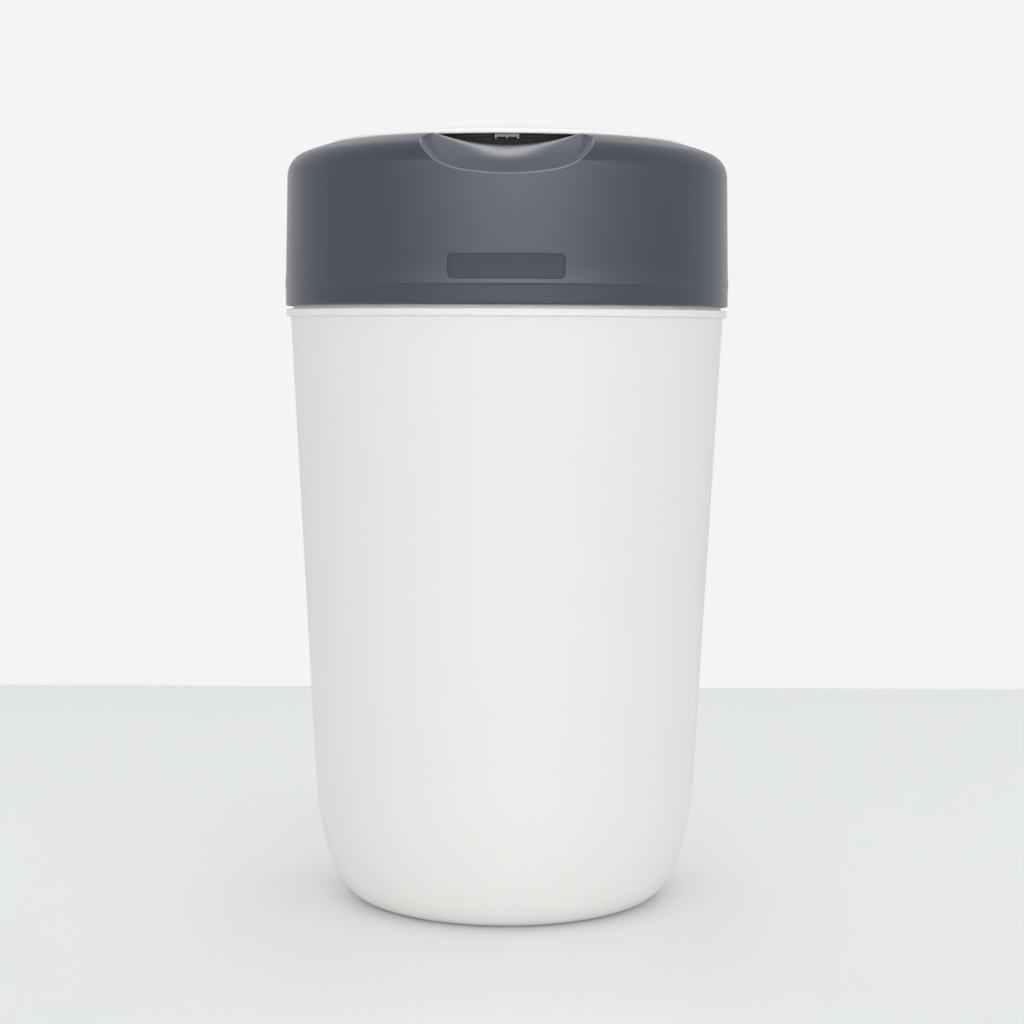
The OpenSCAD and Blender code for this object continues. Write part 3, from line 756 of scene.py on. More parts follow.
class HeadForm:
    """The head's outside as a function of the angle from the front and the way up its profile."""

    def __init__(self, head, scoop):
        self.h = head
        self.s = scoop
        slope = radians(22)
        self.top_r = head.edge_r - head.draft
        self.shoulder_z = head.edge_z + head.skirt_h
        self.shoulder = (self.top_r - head.shoulder_r, self.shoulder_z)
        start = (
            self.shoulder[0] + head.shoulder_r * sin(slope),
            self.shoulder[1] + head.shoulder_r * cos(slope),
        )
        self.crown = (start[0] - head.crown_r * sin(slope), start[1] - head.crown_r * cos(slope))
        self.join_a = pi / 2 - slope
        self.mouth_a = acos((head.mouth_r - self.crown[0]) / head.crown_r)
        self.mouth_z = self.crown[1] + head.crown_r * sin(self.mouth_a)
        self.arc_len = head.shoulder_r * self.join_a
        self.crown_len = head.crown_r * (self.mouth_a - self.join_a)
        self.full = head.skirt_h + self.arc_len + self.crown_len
        self.origin = Vector((0, -scoop.reach, self.mouth_z - scoop.drop))
        self.up = Vector((0, -sin(scoop.tilt), cos(scoop.tilt)))
        self.back = Vector((0, cos(scoop.tilt), sin(scoop.tilt)))

    def swell(self, way):
        """How far the skirt stands out from its plain slope: it flares down to a faint line, then falls back."""
        h = self.h
        flare, step = 10 * MM, 1.2 * MM
        over = way - h.band_h
        if over >= flare:
            return 0.0
        if over >= 0:
            return h.swell * (1 - over / flare) ** 2
        fall = min(-over / step, 1)
        return h.swell * (1 - fall * fall * (3 - 2 * fall)) - h.band_in * -over / h.band_h

    def profile(self, way, inset=0.0):
        """Radius and height at a way up the profile, counted from the head's edge."""
        h = self.h
        if way <= h.skirt_h:
            return h.edge_r - inset - h.draft * way / h.skirt_h + self.swell(way), h.edge_z + way
        if way <= h.skirt_h + self.arc_len:
            a = (way - h.skirt_h) / h.shoulder_r
            mid, r = self.shoulder, h.shoulder_r - inset
        else:
            a = self.join_a + (way - h.skirt_h - self.arc_len) / h.crown_r
            mid, r = self.crown, h.crown_r - inset
        return mid[0] + r * cos(a), mid[1] + r * sin(a)

    def point(self, angle, way, inset=0.0):
        r, z = self.profile(way, inset)
        return Vector((r * sin(angle), -r * cos(angle), z))

    def way_of(self, p):
        """The way up the profile of a point that lies on the outside."""
        r = hypot(p.x, p.y)
        if p.z <= self.shoulder_z:
            return p.z - self.h.edge_z
        a = atan2(p.z - self.shoulder[1], r - self.shoulder[0])
        if a <= self.join_a:
            return self.h.skirt_h + self.h.shoulder_r * a
        a = atan2(p.z - self.crown[1], r - self.crown[0])
        return self.h.skirt_h + self.arc_len + self.h.crown_r * (a - self.join_a)

    def outside(self, p):
        """How far a point stands outside the head."""
        r = hypot(p.x, p.y)
        if p.z <= self.shoulder_z:
            return r - self.profile(p.z - self.h.edge_z)[0]
        a = atan2(p.z - self.shoulder[1], r - self.shoulder[0])
        if a <= self.join_a:
            return hypot(r - self.shoulder[0], p.z - self.shoulder[1]) - self.h.shoulder_r
        return hypot(r - self.crown[0], p.z - self.crown[1]) - self.h.crown_r

    def dish(self, r, grow=0.0):
        """Height of the scoop's floor at a radius, grown by grow on every side."""
        fillet = self.s.fillet + grow
        flat = self.s.radius - self.s.fillet
        if r < flat:
            return self.s.bow * (r / flat) ** 2 - grow
        d = min(r - flat, fillet * 0.9999)
        return self.s.bow + fillet - sqrt(fillet * fillet - d * d) - grow

    def in_dish(self, angle, r):
        """A point of the scoop's floor, by its angle and radius about the scoop's middle."""
        flat = Vector((1, 0, 0)) * cos(angle) + self.back * sin(angle)
        return self.origin + flat * r + self.up * self.dish(r)

    def edge(self, angle, test):
        """Radius at which a ray over the scoop's floor passes a test."""
        low, high = 0.0, self.s.radius * 0.9999
        for _ in range(48):
            mid = (low + high) / 2
            if test(self.in_dish(angle, mid)):
                high = mid
            else:
                low = mid
        return (low + high) / 2

    def crease(self, angle):
        return self.edge(angle, lambda p: self.outside(p) > 0)

    def inner(self, angle):
        return self.edge(angle, lambda p: hypot(p.x, p.y) > self.h.mouth_r)

    def end_angle(self):
        """The angle at which the crease runs into the mouth's edge."""
        low, high = -pi / 2, 0.9
        for _ in range(48):
            mid = (low + high) / 2
            p = self.in_dish(mid, self.crease(mid))
            if hypot(p.x, p.y) < self.h.mouth_r:
                high = mid
            else:
                low = mid
        return (low + high) / 2

    def hollow(self, p):
        """Depth of the finger's hollow at a point's place across the scoop."""
        return self.s.hollow * exp(-((p.x / self.s.hollow_w) ** 2))

    def over_dish(self, p):
        """How far a point stands over the scoop's floor."""
        q = p - self.origin
        side = min(hypot(q.x, q.dot(self.back)), self.s.radius * 0.9999)
        return q.dot(self.up) - self.dish(side)

    def crease_glint_share(self, p):
        """Share of the painted highlight on the scoop's crease: 1 on the crease, 0 away from it and where the crease
        is too blunt to show.
        """
        near = max(abs(self.outside(p)), abs(self.over_dish(p)))
        if near > 0.4 * MM or hypot(p.x, p.y) < self.h.mouth_r + 0.3 * MM:
            return 0.0
        slopes = []
        for level in (self.outside, self.over_dish):
            steps = (Vector((0.02 * MM, 0, 0)), Vector((0, 0.02 * MM, 0)), Vector((0, 0, 0.02 * MM)))
            slopes.append(Vector([level(p + d) - level(p - d) for d in steps]).normalized())
        sharp = (slopes[0].angle(slopes[1]) - radians(16)) / radians(14)
        low = (self.mouth_z - 3.4 * MM - p.z) / (1.2 * MM)
        return min(max(sharp, 0.0), 1.0) * min(max(low, 0.0), 1.0) * min(1.5 * (1 - near / (0.4 * MM)), 1.0)

    def clear_of_dish(self, p, grow):
        """A point of the cover's inside, pushed under the scoop's grown floor."""
        q = p - self.origin
        side = hypot(q.x, q.dot(self.back))
        high = q.dot(self.up)
        if side >= self.s.radius + grow:
            return p
        limit = self.dish(min(side, self.s.radius), grow) - self.hollow(p)
        if high <= limit:
            return p
        return p + self.up * (limit - high)


class Skin:
    """Collects vertices and faces, and the edges that are to be rounded."""

    def __init__(self):
        self.verts = []
        self.faces = []
        self.round = set()

    def add(self, p):
        self.verts.append(tuple(p))
        return len(self.verts) - 1

    def strip(self, low, high):
        for k in range(len(low) - 1):
            quad = [low[k], low[k + 1], high[k + 1], high[k]]
            face = [v for i, v in enumerate(quad) if v not in quad[:i]]
            if len(face) > 2:
                self.faces.append(face)

    def mark(self, row):
        for a, b in zip(row, row[1:]):
            if a != b:
                self.round.add(frozenset((a, b)))


def rounded_outline(w, h, r, count):
    """Points round a rounded rectangle, from the middle of its lower side, turning to the right."""
    per_corner = 9
    left = count - 4 * per_corner
    tall = max(2, round(left * (h - 2 * r) / (w + h - 4 * r) / 2))
    wide = (left - 2 * tall) // 2
    x, z = w / 2 - r, h / 2 - r
    out = []
    half = wide // 2
    for i in range(half):
        out.append((x * i / half, -h / 2))
    for corner, (cx, cz, a) in enumerate(((x, -z, -90), (x, z, 0), (-x, z, 90), (-x, -z, 180))):
        for i in range(per_corner):
            b = radians(a + 90 * i / (per_corner - 1))
            out.append((cx + r * cos(b), cz + r * sin(b)))
        if corner in (0, 2):
            sign = 1 if corner == 0 else -1
            for i in range(1, tall + 1):
                out.append((sign * w / 2, sign * (-z + 2 * z * i / (tall + 1))))
        elif corner == 1:
            for i in range(1, wide + 1):
                out.append((x - 2 * x * i / (wide + 1), h / 2))
    rest = count - len(out)
    for i in range(1, rest + 1):
        out.append((-x + x * i / (rest + 1), -h / 2))
    return out


def head_mesh(head, scoop):
    """The head's cover: a turned shell whose grid opens for the scoop and for the badge's recess."""
    form = HeadForm(head, scoop)
    skin = Skin()
    turns = 288
    step = 2 * pi / turns
    scoop_n = 26
    badge_n = 14
    mouth = form.full
    cut_way = 50 * MM
    badge_low = head.badge_z - head.edge_z - 7.2 * MM
    badge_high = head.badge_z - head.edge_z + 9 * MM
    ways = [1.0 * MM, 2.0 * MM, 4.0 * MM, 7.0 * MM, 9.5 * MM]
    ways += [head.band_h + t * MM for t in (-1.3, -1.1, -0.9, -0.7, -0.5, -0.3, -0.15, 0, 0.15, 0.5)]
    ways += [badge_low + (badge_high - badge_low) * i / 12 for i in range(13)]
    ways += [badge_high + (cut_way - badge_high) * i / 8 for i in range(1, 9)]
    ways += [cut_way + (head.skirt_h - cut_way) * i / 10 for i in range(1, 11)]
    ways += [head.skirt_h + form.arc_len * i / 12 for i in range(1, 13)]
    ways += [head.skirt_h + form.arc_len + form.crown_len * i / 10 for i in range(1, 11)]
    low_row, high_row = ways.index(badge_low), ways.index(badge_high)
    cut_row = min(range(len(ways)), key=lambda i: abs(ways[i] - cut_way))
    grid = {}

    def at(k, j):
        """The grid's vertex at a column, counted from the front, and a row."""
        key = (k % turns, j)
        if key not in grid:
            grid[key] = skin.add(form.point(k * step, ways[j]))
        return grid[key]

    for k in range(turns):
        front = k if k < turns // 2 else k - turns
        for j in range(len(ways) - 1):
            if -scoop_n <= front < scoop_n and j >= cut_row:
                continue
            if -badge_n <= front < badge_n and low_row <= j < high_row:
                continue
            skin.faces.append([at(k, j), at(k + 1, j), at(k + 1, j + 1), at(k, j + 1)])

    # the scoop: rays from its middle cross its floor, its crease, and the shoulder round it
    top = len(ways) - 1
    border = [(-scoop_n, j) for j in range(top, cut_row, -1)]
    border += [(k, cut_row) for k in range(-scoop_n, scoop_n)]
    border += [(scoop_n, j) for j in range(cut_row, top + 1)]
    span = form.end_angle()
    half = span + pi / 2
    samples = [-pi / 2 - half + 2 * half * i / 400 for i in range(401)]
    high_mid = mouth + 6 * MM

    def bearing(p):
        """Direction of a point on the unrolled outside from over the scoop's middle."""
        turn = atan2(p.x, -p.y)
        return atan2(turn * form.top_r, high_mid - form.way_of(p))

    seen = [bearing(form.in_dish(a, form.crease(a))) for a in samples]
    seen = [(b - seen[0]) / (seen[-1] - seen[0]) for b in seen]
    outer = [bearing(Vector(skin.verts[at(k, j)])) for k, j in border]
    outer = [(b - outer[0]) / (outer[-1] - outer[0]) for b in outer]
    rays = []
    i = 0
    for b in outer:
        while i < len(seen) - 2 and seen[i + 1] < b:
            i += 1
        t = (b - seen[i]) / (seen[i + 1] - seen[i])
        rays.append(samples[i] + (samples[i + 1] - samples[i]) * min(max(t, 0), 1))
    floor_rows, shoulder_rows = 18, 16
    columns = []
    mouth_left, mouth_right, inner_row, crease_row = [], [], [], []
    for index, (a, (k, j)) in enumerate(zip(rays, border)):
        last = index in (0, len(border) - 1)
        r_in, r_out = form.inner(a), form.crease(a)
        crease = form.in_dish(a, r_out)
        if last:
            crease = form.point(atan2(crease.x, -crease.y), mouth)
        corner = skin.add(crease)
        column = []
        if last:
            column = [corner] * floor_rows
        else:
            for i in range(floor_rows):
                t = i / floor_rows
                t = t * (2 - t) * 0.35 + t * 0.65
                p = form.in_dish(a, r_in + (r_out - r_in) * t)
                column.append(skin.add(p - form.up * 4 * t * (1 - t) * form.hollow(p)))
        column.append(corner)
        turn_c, way_c = atan2(crease.x, -crease.y), form.way_of(crease)
        turn_b, way_b = k * step, ways[j]
        if last:
            way_c = mouth
        for i in range(1, shoulder_rows):
            t = i / shoulder_rows
            t = t * t * 0.45 + t * 0.55
            p = form.point(turn_c + (turn_b - turn_c) * t, way_c + (way_b - way_c) * t)
            column.append(skin.add(p))
        column.append(at(k, j))
        columns.append(column)
        inner_row.append(column[0])
        crease_row.append(corner)
    for a, b in zip(columns, columns[1:]):
        skin.strip(a, b)
    skin.mark(crease_row)
    mouth_left = columns[0][floor_rows:][::-1]
    mouth_right = columns[-1][floor_rows:]

    # the mouth's edge all the way round, and the collar that hangs from it
    loop = mouth_left + inner_row[1:-1] + mouth_right
    loop += [at(k, top) for k in range(scoop_n + 1, turns - scoop_n)]
    loop.append(loop[0])
    skin.mark(loop)
    under = [skin.verts[v] for v in loop]
    low = form.mouth_z - head.collar_h
    shift = head.mouth_r
    hang = []
    for x, y, z in under[:-1]:
        k = shift / hypot(x, y)
        hang.append(skin.add((x * k, y * k, low)))
    hang.append(hang[0])
    skin.strip(loop, hang)

    # the badge's recess: a rounded outline, a step down, and a floor
    ring = [(k, low_row) for k in range(0, badge_n)]
    ring += [(badge_n, j) for j in range(low_row, high_row)]
    ring += [(k, high_row) for k in range(badge_n, -badge_n, -1)]
    ring += [(-badge_n, j) for j in range(high_row, low_row, -1)]
    ring += [(k, low_row) for k in range(-badge_n, 0)]
    outline = rounded_outline(head.badge_w, head.badge_h, head.badge_corner, len(ring))
    edge_ids = [at(k, j) for k, j in ring]

    def on_skirt(x, z, sunk):
        r = form.profile(z - head.edge_z)[0] - sunk
        return (x, -sqrt(r * r - x * x), z)

    rows = [edge_ids]
    for t in (0.35, 0.7, 0.9):
        row = []
        for v, (x, z) in zip(edge_ids, outline):
            p = skin.verts[v]
            row.append(skin.add(on_skirt(p[0] + (x - p[0]) * t, p[2] + (head.badge_z + z - p[2]) * t, 0)))
        rows.append(row)
    rim = [skin.add(on_skirt(x, head.badge_z + z, 0)) for x, z in outline]
    foot = [skin.add(on_skirt(x * 0.9985, head.badge_z + z * 0.993, head.badge_depth)) for x, z in outline]
    rows += [rim, foot]
    for t in (0.96, 0.8, 0.55, 0.25, 0.02):
        rows.append([skin.add(on_skirt(x * t, head.badge_z + z * t, head.badge_depth)) for x, z in outline])
    rows = [row + row[:1] for row in rows]
    for a, b in zip(rows, rows[1:]):
        skin.strip(a, b)
    skin.faces.append(rows[-1][:-1])
    skin.mark(rows[4])
    skin.mark(rows[5])

    # the lower edge and the inside of the cover, back up to the collar
    foot_r = form.profile(0)[0]
    inside = [(foot_r - 0.08 * MM, head.edge_z + 0.42 * MM), (foot_r - 0.35 * MM, head.edge_z + 0.1 * MM)]
    inside += [(foot_r - 0.8 * MM, head.edge_z), (head.edge_r - head.wall + 0.3 * MM, head.edge_z)]
    inside += [(head.edge_r - head.wall, head.edge_z + 0.3 * MM)]
    inside += [form.profile(w, head.wall) for w in (10 * MM, 40 * MM, 60 * MM, head.skirt_h)]
    inside += [form.profile(head.skirt_h + form.arc_len * i / 6, head.wall) for i in range(1, 7)]
    inside += [form.profile(head.skirt_h + form.arc_len + form.crown_len * i / 8, head.wall) for i in range(1, 7)]
    inside += [(head.mouth_r + head.wall, inside[-1][1]), (head.mouth_r + head.wall, low)]
    previous = [at(k, 0) for k in range(turns)]
    previous.append(previous[0])
    for r, z in inside:
        row = []
        for k in range(turns):
            p = Vector((r * sin(k * step), -r * cos(k * step), z))
            if z > form.shoulder_z - 40 * MM:
                p = form.clear_of_dish(p, head.wall)
            row.append(skin.add(p))
        row.append(row[0])
        skin.strip(row, previous)
        previous = row
    row = []
    for k in range(turns):
        row.append(skin.add((head.mouth_r * sin(k * step), -head.mouth_r * cos(k * step), low)))
    row.append(row[0])
    skin.strip(row, previous)

    mesh = new_mesh("head_shell", skin.verts, skin.faces)
    bm = bmesh.new()
    bm.from_mesh(mesh)
    weight = bm.edges.layers.float.new("bevel_weight_edge")
    for e in bm.edges:
        if frozenset((e.verts[0].index, e.verts[1].index)) in skin.round:
            e[weight] = 1.0
    bmesh.ops.recalc_face_normals(bm, faces=bm.faces)
    bm.to_mesh(mesh)
    bm.free()
    return mesh


class NAPPYBIN_OT_head(PieceOperator, bpy.types.Operator):
    """Makes the slate head cover with its finger scoop and bare badge recess"""

    bl_idname = "nappybin.head"
    bl_label = "Head cover"

    def make(self, scene):
        mesh = head_mesh(scene.bin_head, scene.bin_scoop)
        thing = loose(mesh)
        step = thing.modifiers.new("rounding", "BEVEL")
        step.width = scene.bin_head.crease
        step.segments = 4
        step.limit_method = "WEIGHT"
        step.use_clamp_overlap = True
        mesh = finished(thing)
        mesh.shade_smooth()
        form = HeadForm(scene.bin_head, scene.bin_scoop)
        # painted highlight: each vertex's share of the light line that the slate's finish paints along the crease
        crease_glint = mesh.attributes.new("crease", "FLOAT", "POINT")
        crease_glint.data.foreach_set("value", [form.crease_glint_share(v.co) for v in mesh.vertices])
        even_shading(place_piece("head_shell", mesh, "slate_plastic", "head", "head_cover"), 60)


class NAPPYBIN_OT_lid(PieceOperator, bpy.types.Operator):
    """Makes the white domed lid, its lining and its catch"""

    bl_idname = "nappybin.lid"
    bl_label = "Lid"

    def make(self, scene):
        s = scene.bin_lid
        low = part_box("lid_cover")[0][2]
        flat_r = s.radius - 3 * MM
        dome = (flat_r**2 + s.rise**2) / (2 * s.rise)
        mid = low + s.edge_h + s.rise - dome

        def top(r, inset=0.0):
            return mid + sqrt((dome - inset) ** 2 - r * r)

        inner_r = s.radius - s.wall - 2.4 * MM
        line = [(flat_r * i / 40, top(flat_r * i / 40)) for i in range(39)]
        line += eased(
            [
                (flat_r * 0.985, top(flat_r * 0.985), 0),
                (s.radius - 1.6 * MM, top(s.radius - 1.6 * MM), 1.5 * MM),
                (s.radius, low + s.edge_h * 0.55, 1.2 * MM),
                (s.radius, low, 0.6 * MM),
                (inner_r, low, 0.4 * MM),
                (inner_r, top(inner_r, s.wall), 0.3 * MM),
                (inner_r * 0.97, top(inner_r * 0.97, s.wall), 0),
            ],
            5,
        )
        line += [(inner_r * i / 24, top(inner_r * i / 24, s.wall)) for i in range(23, -1, -1)]
        shell = turned("lid_shell", line, 288)
        hinge_y, hinge_z = s.hinge_y / MM, low / MM + 2.7
        back = hinge_y - 3.2
        half = s.hinge_w / MM / 2
        notch = block((-half - 0.6, back, 380), (half + 0.6, 130, 440))
        chord = block((-110, hinge_y - 0.2, 380), (110, 130, 440))
        shell = combine(shell, [notch, chord])
        fill = block((-half - 3, back - 1.8, low / MM), (half + 3, back, low / MM + 2.1))
        barrel = half - 6.4
        arm = block((-barrel, back - 1, hinge_z - 1.3), (barrel, hinge_y, hinge_z + 1.5))
        knuckle = rod((-barrel, hinge_y, hinge_z), (barrel, hinge_y, hinge_z), 2.6)
        shell = combine(shell, [fill, arm, knuckle], "UNION")
        shell = combine(shell, [rod((-30, hinge_y, hinge_z), (30, hinge_y, hinge_z), 1.26)])
        shell.name = "lid_shell"
        shell.shade_smooth()
        # painted light: the lid gets a lighter copy of the tub's white, for the light that falls on its top
        even_shading(place_piece("lid_shell", shell, "white_plastic", "lid", "lid_cover", finish="lid_lit_white"), 28)

        self.lining(scene, low)
        self.catch(low)

    def lining(self, scene, low):
        """The lid's inner panel: a dished disc with a raised middle."""
        r = 90.8
        z = low / MM
        line = eased(
            [
                (0, z + 0.4, 0),
                (30, z + 0.4, 1.2),
                (35, z - 1.2, 2.5),
                (r - 12, z - 1.2, 1.2),
                (r - 10, z, 0.8),
                (r, z, 0.25),
                (r, z + 0.95, 0.25),
                (r - 12, z + 1.1, 0),
                (35, z + 1.1, 1),
                (30, z + 2.0, 1),
                (0, z + 2.0, 0),
            ],
            6,
        )
        mesh = turned("lid_panel", [(a * MM, b * MM) for a, b in line], 240)
        mesh = combine(mesh, [block((-22, 87.4, 390), (22, 110, 430))])
        mesh.name = "lid_panel"
        mesh.shade_smooth()
        even_shading(place_piece("lid_panel", mesh, "white_plastic", "lid", "lid_lining"), 30)

    def catch(self, low):
        """The catch tab with its three ribs."""
        lo, hi = [Vector(c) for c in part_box("lid_catch")]
        lo, hi = lo / MM, hi / MM
        rib = 1.0
        parts = [block((lo.x + rib * 0.5, lo.y + 1.0, hi.z - 1.8), (hi.x - rib * 0.5, hi.y - 0.1, hi.z))]
        for x in (lo.x, -rib / 2, hi.x - rib):
            parts.append(block((x, lo.y, lo.z), (x + rib, hi.y, hi.z)))
        mesh = softened(joined(parts, "lid_catch_tab"), 0.22 * MM)
        # painted shade: the catch's dark grey stands for the shade under the lid's edge
        even_shading(place_piece("lid_catch_tab", mesh, "grey_plastic", "lid", "lid_catch"))


class NAPPYBIN_OT_film(PieceOperator, bpy.types.Operator):
    """Makes the pleated pack of film in the cassette"""

    bl_idname = "nappybin.film"
    bl_label = "Film pack"

    def make(self, scene):
        lo, hi = [Vector(c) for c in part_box("film_pack")]
        r_out = hi.x / MM
        r_in = 54.3
        low, high = lo.z / MM, hi.z / MM
        steps = 360
        pleats = 26
        verts, faces, rows = [], [], []
        levels = []
        for i in range(pleats):
            z = low + 0.15 + (high - low - 0.5) * i / pleats
            gap = (high - low - 0.5) / pleats
            levels += [(r_out - 1.3, z), (r_out - 0.25, z + gap * 0.45)]
        levels.append((r_out - 1.5, high - 0.15))
        levels += [(r_in + (r_out - r_in) * t, high - 0.1) for t in (0.75, 0.5, 0.25)]
        levels.append((r_in + 1.5, high - 0.15))
        for i in range(pleats, 0, -1):
            z = low + 0.15 + (high - low - 0.5) * i / pleats
            gap = (high - low - 0.5) / pleats
            levels += [(r_in + 0.25, z - gap * 0.55), (r_in + 1.3, z - gap)]
        for index, (r, z) in enumerate(levels):
            row = []
            for k in range(steps):
                a = 2 * pi * k / steps
                crush = sin(a * 17 + index * 1.7) * 0.5 + sin(a * 41 + index * 2.9) * 0.3 + sin(a * 5 + index) * 0.2
                lift = sin(a * 9 + index * 0.8) * 0.12 * min(1, (high - z) / 3 + 0.1)
                shrink = 0.22 * (crush - 1) if r > 68 else 0.22 * (1 - crush)
                radius = (r + shrink) * MM
                row.append(len(verts))
                verts.append((radius * cos(a), radius * sin(a), min(max(z + lift, low), high) * MM))
            rows.append(row)
        for a, b in zip(rows, rows[1:] + rows[:1]):
            for k in range(steps):
                j = (k + 1) % steps
                faces.append((a[k], a[j], b[j], b[k]))
        mesh = new_mesh("film_pleats", verts, faces)
        face_out(mesh)
        place_piece("film_pleats", mesh, "film", "drum", "film_pack")


class NAPPYBIN_OT_grip(PieceOperator, bpy.types.Operator):
    """Makes the ring of flexible fingers under the cassette"""

    bl_idname = "nappybin.grip"
    bl_label = "Film grip"

    def make(self, scene):
        lo, hi = [Vector(c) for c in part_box("film_grip")]
        top, low = hi.z / MM, lo.z / MM
        outer = hi.x / MM
        fingers = 8
        ring = eased(
            [
                (outer - 9, top - 2, 0.4),
                (outer, top - 2, 0.5),
                (outer, top, 0.3),
                (outer - 9, top, 0.3),
                (outer - 9, top - 2, 0.4),
            ],
            4,
        )
        base = turned("grip_ring", [(r * MM, z * MM) for r, z in ring[:-1]], 240, True)
        holes = []
        for i in range(4):
            a = pi / 2 * i
            x, y = (outer - 2.6) * cos(a), (outer - 2.6) * sin(a)
            holes.append(rod((x, y, top - 4), (x, y, top + 2), 1.3, 32))
        base = combine(base, holes)
        parts = [base]
        share = 0.84
        for i in range(fingers):
            start = 2 * pi / fingers * (i + 0.08)
            parts.append(self.finger(start, 2 * pi / fingers * share, outer - 8, 30, top - 2, low))
        mesh = joined(parts, "grip_fingers")
        even_shading(place_piece("grip_fingers", mesh, "grey_plastic", "head", "film_grip"), 50)

    def finger(self, start, sweep, r_root, r_tip, top, low):
        """One thin finger, round at its tip's corners, that bends down towards its tip."""
        across, along = 16, 22
        thick = 1.6
        verts, faces = [], []

        def ring_point(u, t, side):
            drop = (t**1.15) * (top - low - 0.4)
            r = r_root + (r_tip - r_root) * t
            corner = max(0.0, (t - 0.86) / 0.14)
            width = sweep * (1 - 0.22 * corner**2)
            a = start + sweep / 2 + width * (u - 0.5)
            belly = 0.5 * (1 - (2 * u - 1) ** 2) * t
            half = thick / 2 * (1 - 0.45 * t)
            edge = 1 - max(abs(2 * u - 1), abs(2 * t - 1)) ** 12
            z = top - drop + half - belly * 0.6 + side * half * sqrt(max(edge, 0.0)) * 0.96
            z = max(z, low + 0.02)
            return (r * cos(a) * MM, r * sin(a) * MM, z * MM)

        ids = {}
        for side in (1, -1):
            for j in range(along + 1):
                for i in range(across + 1):
                    rim = i in (0, across) or j in (0, along)
                    if rim and side < 0:
                        ids[side, i, j] = ids[1, i, j]
                        continue
                    ids[side, i, j] = len(verts)
                    verts.append(ring_point(i / across, j / along, 0 if rim else side))
            for j in range(along):
                for i in range(across):
                    quad = [ids[side, i, j], ids[side, i + 1, j], ids[side, i + 1, j + 1], ids[side, i, j + 1]]
                    faces.append(quad if side > 0 else quad[::-1])
        mesh = new_mesh("finger", verts, faces)
        face_out(mesh)
        return mesh


class NAPPYBIN_OT_inside(PieceOperator, bpy.types.Operator):
    """Gives the well, drum, cassette, cutter and fasteners their finishes"""

    bl_idname = "nappybin.inside"
    bl_label = "Inside pieces"

    def make(self, scene):
        slots = {sub["node"]: sub["material_slot"] for sub in frame["record"]["subparts"]}
        made = {"tub", "head_cover", "lid_cover", "lid_lining", "lid_catch", "film_pack", "film_grip"}
        for name in sorted(set(slots) - made):
            dress_node(name, slots[name])


# --------------------------------------------------------------------- stage


def lamp(name, place, target, size, power):
    light = bpy.data.lights.new(name, "AREA")
    light.shape = "RECTANGLE"
    light.size, light.size_y = size
    light.energy = power
    thing = bpy.data.objects.new(name, light)
    bpy.context.scene.collection.objects.link(thing)
    thing.location = place
    thing.rotation_euler = (Vector(target) - Vector(place)).to_track_quat("-Z", "Y").to_euler()
    return thing


def backdrop_finish(name, lit, seen, mirrored):
    """A matt backdrop that the camera and reflections each see at a set brightness, and that is clear from behind."""
    f = Finish(name)
    paths = f.node("ShaderNodeLightPath")
    direct = f.maths("MAXIMUM", paths.outputs["Is Camera Ray"], paths.outputs["Is Glossy Ray"])
    f.feed(f.shader, {"Base Color": rgba(lit), "Roughness": 0.9})
    tone = f.blend(Num(f.tree, paths.outputs["Is Camera Ray"]), rgba(mirrored), rgba(seen))
    glow = f.node("ShaderNodeEmission", None, {"Color": tone, "Strength": 1.0})
    out = f.tree.nodes["Material Output"]
    mix = f.node("ShaderNodeMixShader")
    f.feed_indexed(mix, {0: direct, 1: f.shader.outputs[0], 2: glow.outputs[0]})
    clear = f.node("ShaderNodeBsdfTransparent")
    behind = f.node("ShaderNodeNewGeometry").outputs["Backfacing"]
    sided = f.node("ShaderNodeMixShader")
    f.feed_indexed(sided, {0: behind, 1: mix.outputs[0], 2: clear.outputs[0]})
    f.tree.links.new(sided.outputs[0], out.inputs["Surface"])
    return f.material


def light_room(room, sky, glow, turn, seen):
    """Even light from all around and a broad soft glow low in front. The camera sees a plain background."""
    x, y, z = room.parts(room.node("ShaderNodeTexCoord").outputs["Generated"])
    side = (room.maths("ARCTAN2", x, 0 - y) - turn) * (1 / radians(47))
    rise = room.maths("ARCSINE", z)
    across = room.maths("EXPONENT", 0 - side * side)
    upward = room.ramp(rise, radians(0.5), radians(9)) * (1 - room.ramp(rise, radians(12), radians(20)))
    bright = (sky + glow) / sky
    tone = room.blend(across * upward, (1, 1, 1, 1), (bright, bright, bright, 1))
    direct = room.node("ShaderNodeLightPath").outputs["Is Camera Ray"]
    tone = room.blend(direct, tone, rgba(seen, 1 / sky))
    room.feed(room.tree.nodes["Background"], {"Color": tone, "Strength": sky})


BACKGROUND = (0.905, 0.905, 0.91)


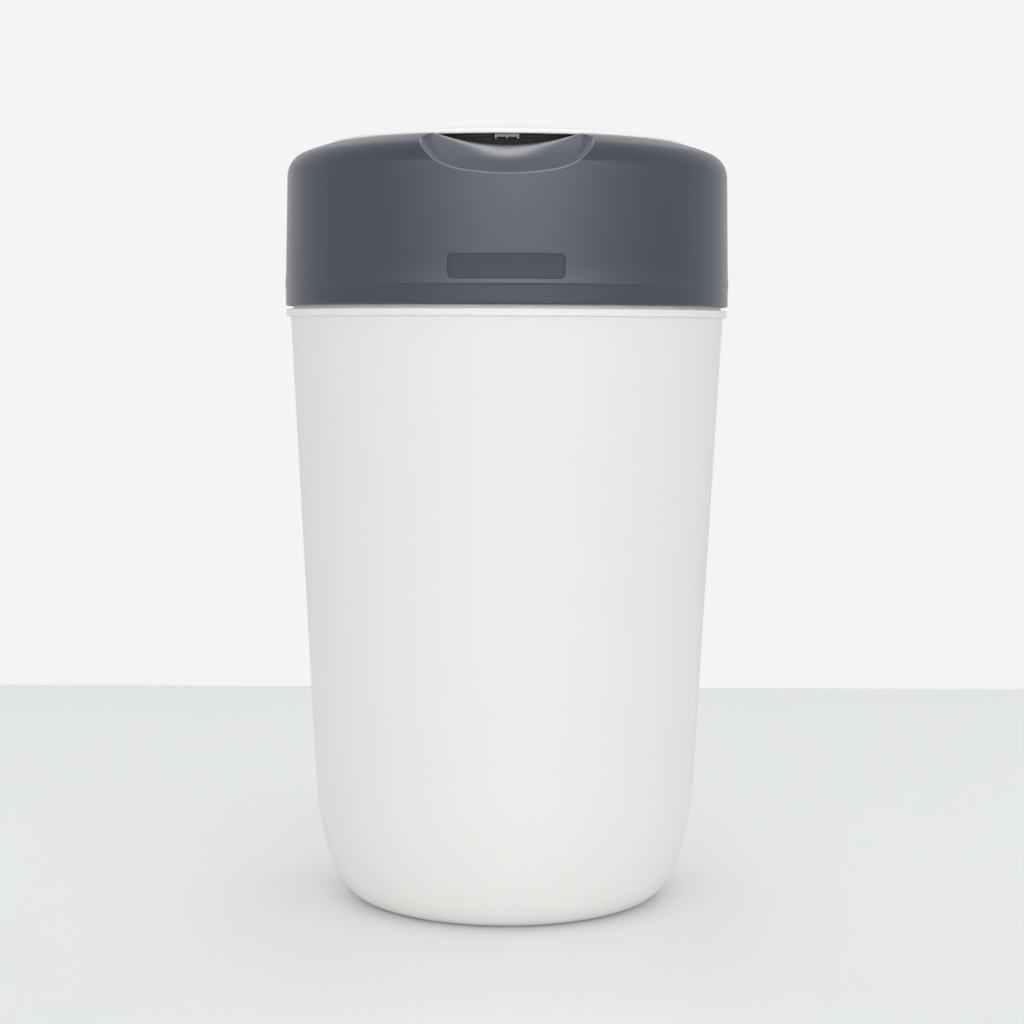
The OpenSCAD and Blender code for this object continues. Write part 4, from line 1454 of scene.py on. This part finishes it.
class NAPPYBIN_OT_stage(PieceOperator, bpy.types.Operator):
    """Sets the floor, the backdrop, the lamps and the camera"""

    bl_idname = "nappybin.stage"
    bl_label = "Stage"

    def make(self, scene):
        s = scene.bin_stage
        scene.view_settings.view_transform = "Standard"
        y = s.wall_y
        floor = loose(new_mesh("floor", [(-6, -6, 0), (6, -6, 0), (6, y, 0), (-6, y, 0)], [(0, 1, 2, 3)], False))
        floor.name = "floor"
        matt = Finish("floor_paint")
        tone = matt.noise(0.4, 2)
        matt.feed(
            matt.shader,
            {"Base Color": matt.blend(tone, (0.905, 0.935, 0.93, 1), (0.92, 0.945, 0.94, 1)), "Roughness": 0.32},
        )
        floor.data.materials.append(matt.material)
        wall = loose(new_mesh("backdrop", [(-6, y, 0), (6, y, 0), (6, y, 5), (-6, y, 5)], [(0, 1, 2, 3)], False))
        wall.name = "backdrop"
        wall.data.materials.append(backdrop_finish("backdrop_paint", (0.86, 0.86, 0.86), BACKGROUND, (0.66, 0.66, 0.67)))

        scene.world = bpy.data.worlds.new("studio")
        scene.world.use_nodes = True
        light_room(Wiring(scene.world.node_tree), s.sky, s.glow, s.glow_turn, BACKGROUND)
        lamp("high", (0.1, -0.55, 2.2), (0, 0, 0.3), (1.2, 0.8), s.high)
        lamp("top", (0.01, 0.2, 1.6), (0, -0.05, 0.38), (0.25, 0.2), s.top)

        camera = bpy.data.cameras.new("camera")
        camera.sensor_width = 36
        camera.lens = s.lens
        thing = bpy.data.objects.new("camera", camera)
        scene.collection.objects.link(thing)
        thing.location = (s.camera_x, -s.camera_y, s.camera_z)
        look = Matrix.Rotation(pi / 2 - s.pitch, 3, "X") @ Matrix.Rotation(s.roll, 3, "Z")
        thing.rotation_euler = look.to_euler()
        scene.camera = thing


OPERATORS = (
    NAPPYBIN_OT_tub,
    NAPPYBIN_OT_head,
    NAPPYBIN_OT_lid,
    NAPPYBIN_OT_film,
    NAPPYBIN_OT_grip,
    NAPPYBIN_OT_inside,
    NAPPYBIN_OT_stage,
)


class NAPPYBIN_PT_panel(bpy.types.Panel):
    """Lists the bin's pieces"""

    bl_idname = "NAPPYBIN_PT_panel"
    bl_label = "Nappy bin"
    bl_space_type = "VIEW_3D"
    bl_region_type = "UI"
    bl_category = "Nappy bin"

    def draw(self, context):
        for operator in OPERATORS:
            self.layout.operator(operator.bl_idname, text=operator.bl_label)
        for name, group in SETTINGS.items():
            box = self.layout.box()
            for key in group.__annotations__:
                box.prop(getattr(context.scene, name), key)


CLASSES = GROUPS + OPERATORS + (NAPPYBIN_PT_panel,)


def register():
    for cls in CLASSES:
        bpy.utils.register_class(cls)
    for name, group in SETTINGS.items():
        setattr(bpy.types.Scene, name, bpy.props.PointerProperty(type=group))


def unregister():
    for name in SETTINGS:
        delattr(bpy.types.Scene, name)
    for cls in reversed(CLASSES):
        bpy.utils.unregister_class(cls)


def main():
    register()
    for operator in OPERATORS:
        group, name = operator.bl_idname.split(".")
        getattr(getattr(bpy.ops, group), name)()


if __name__ == "__main__":
    main()
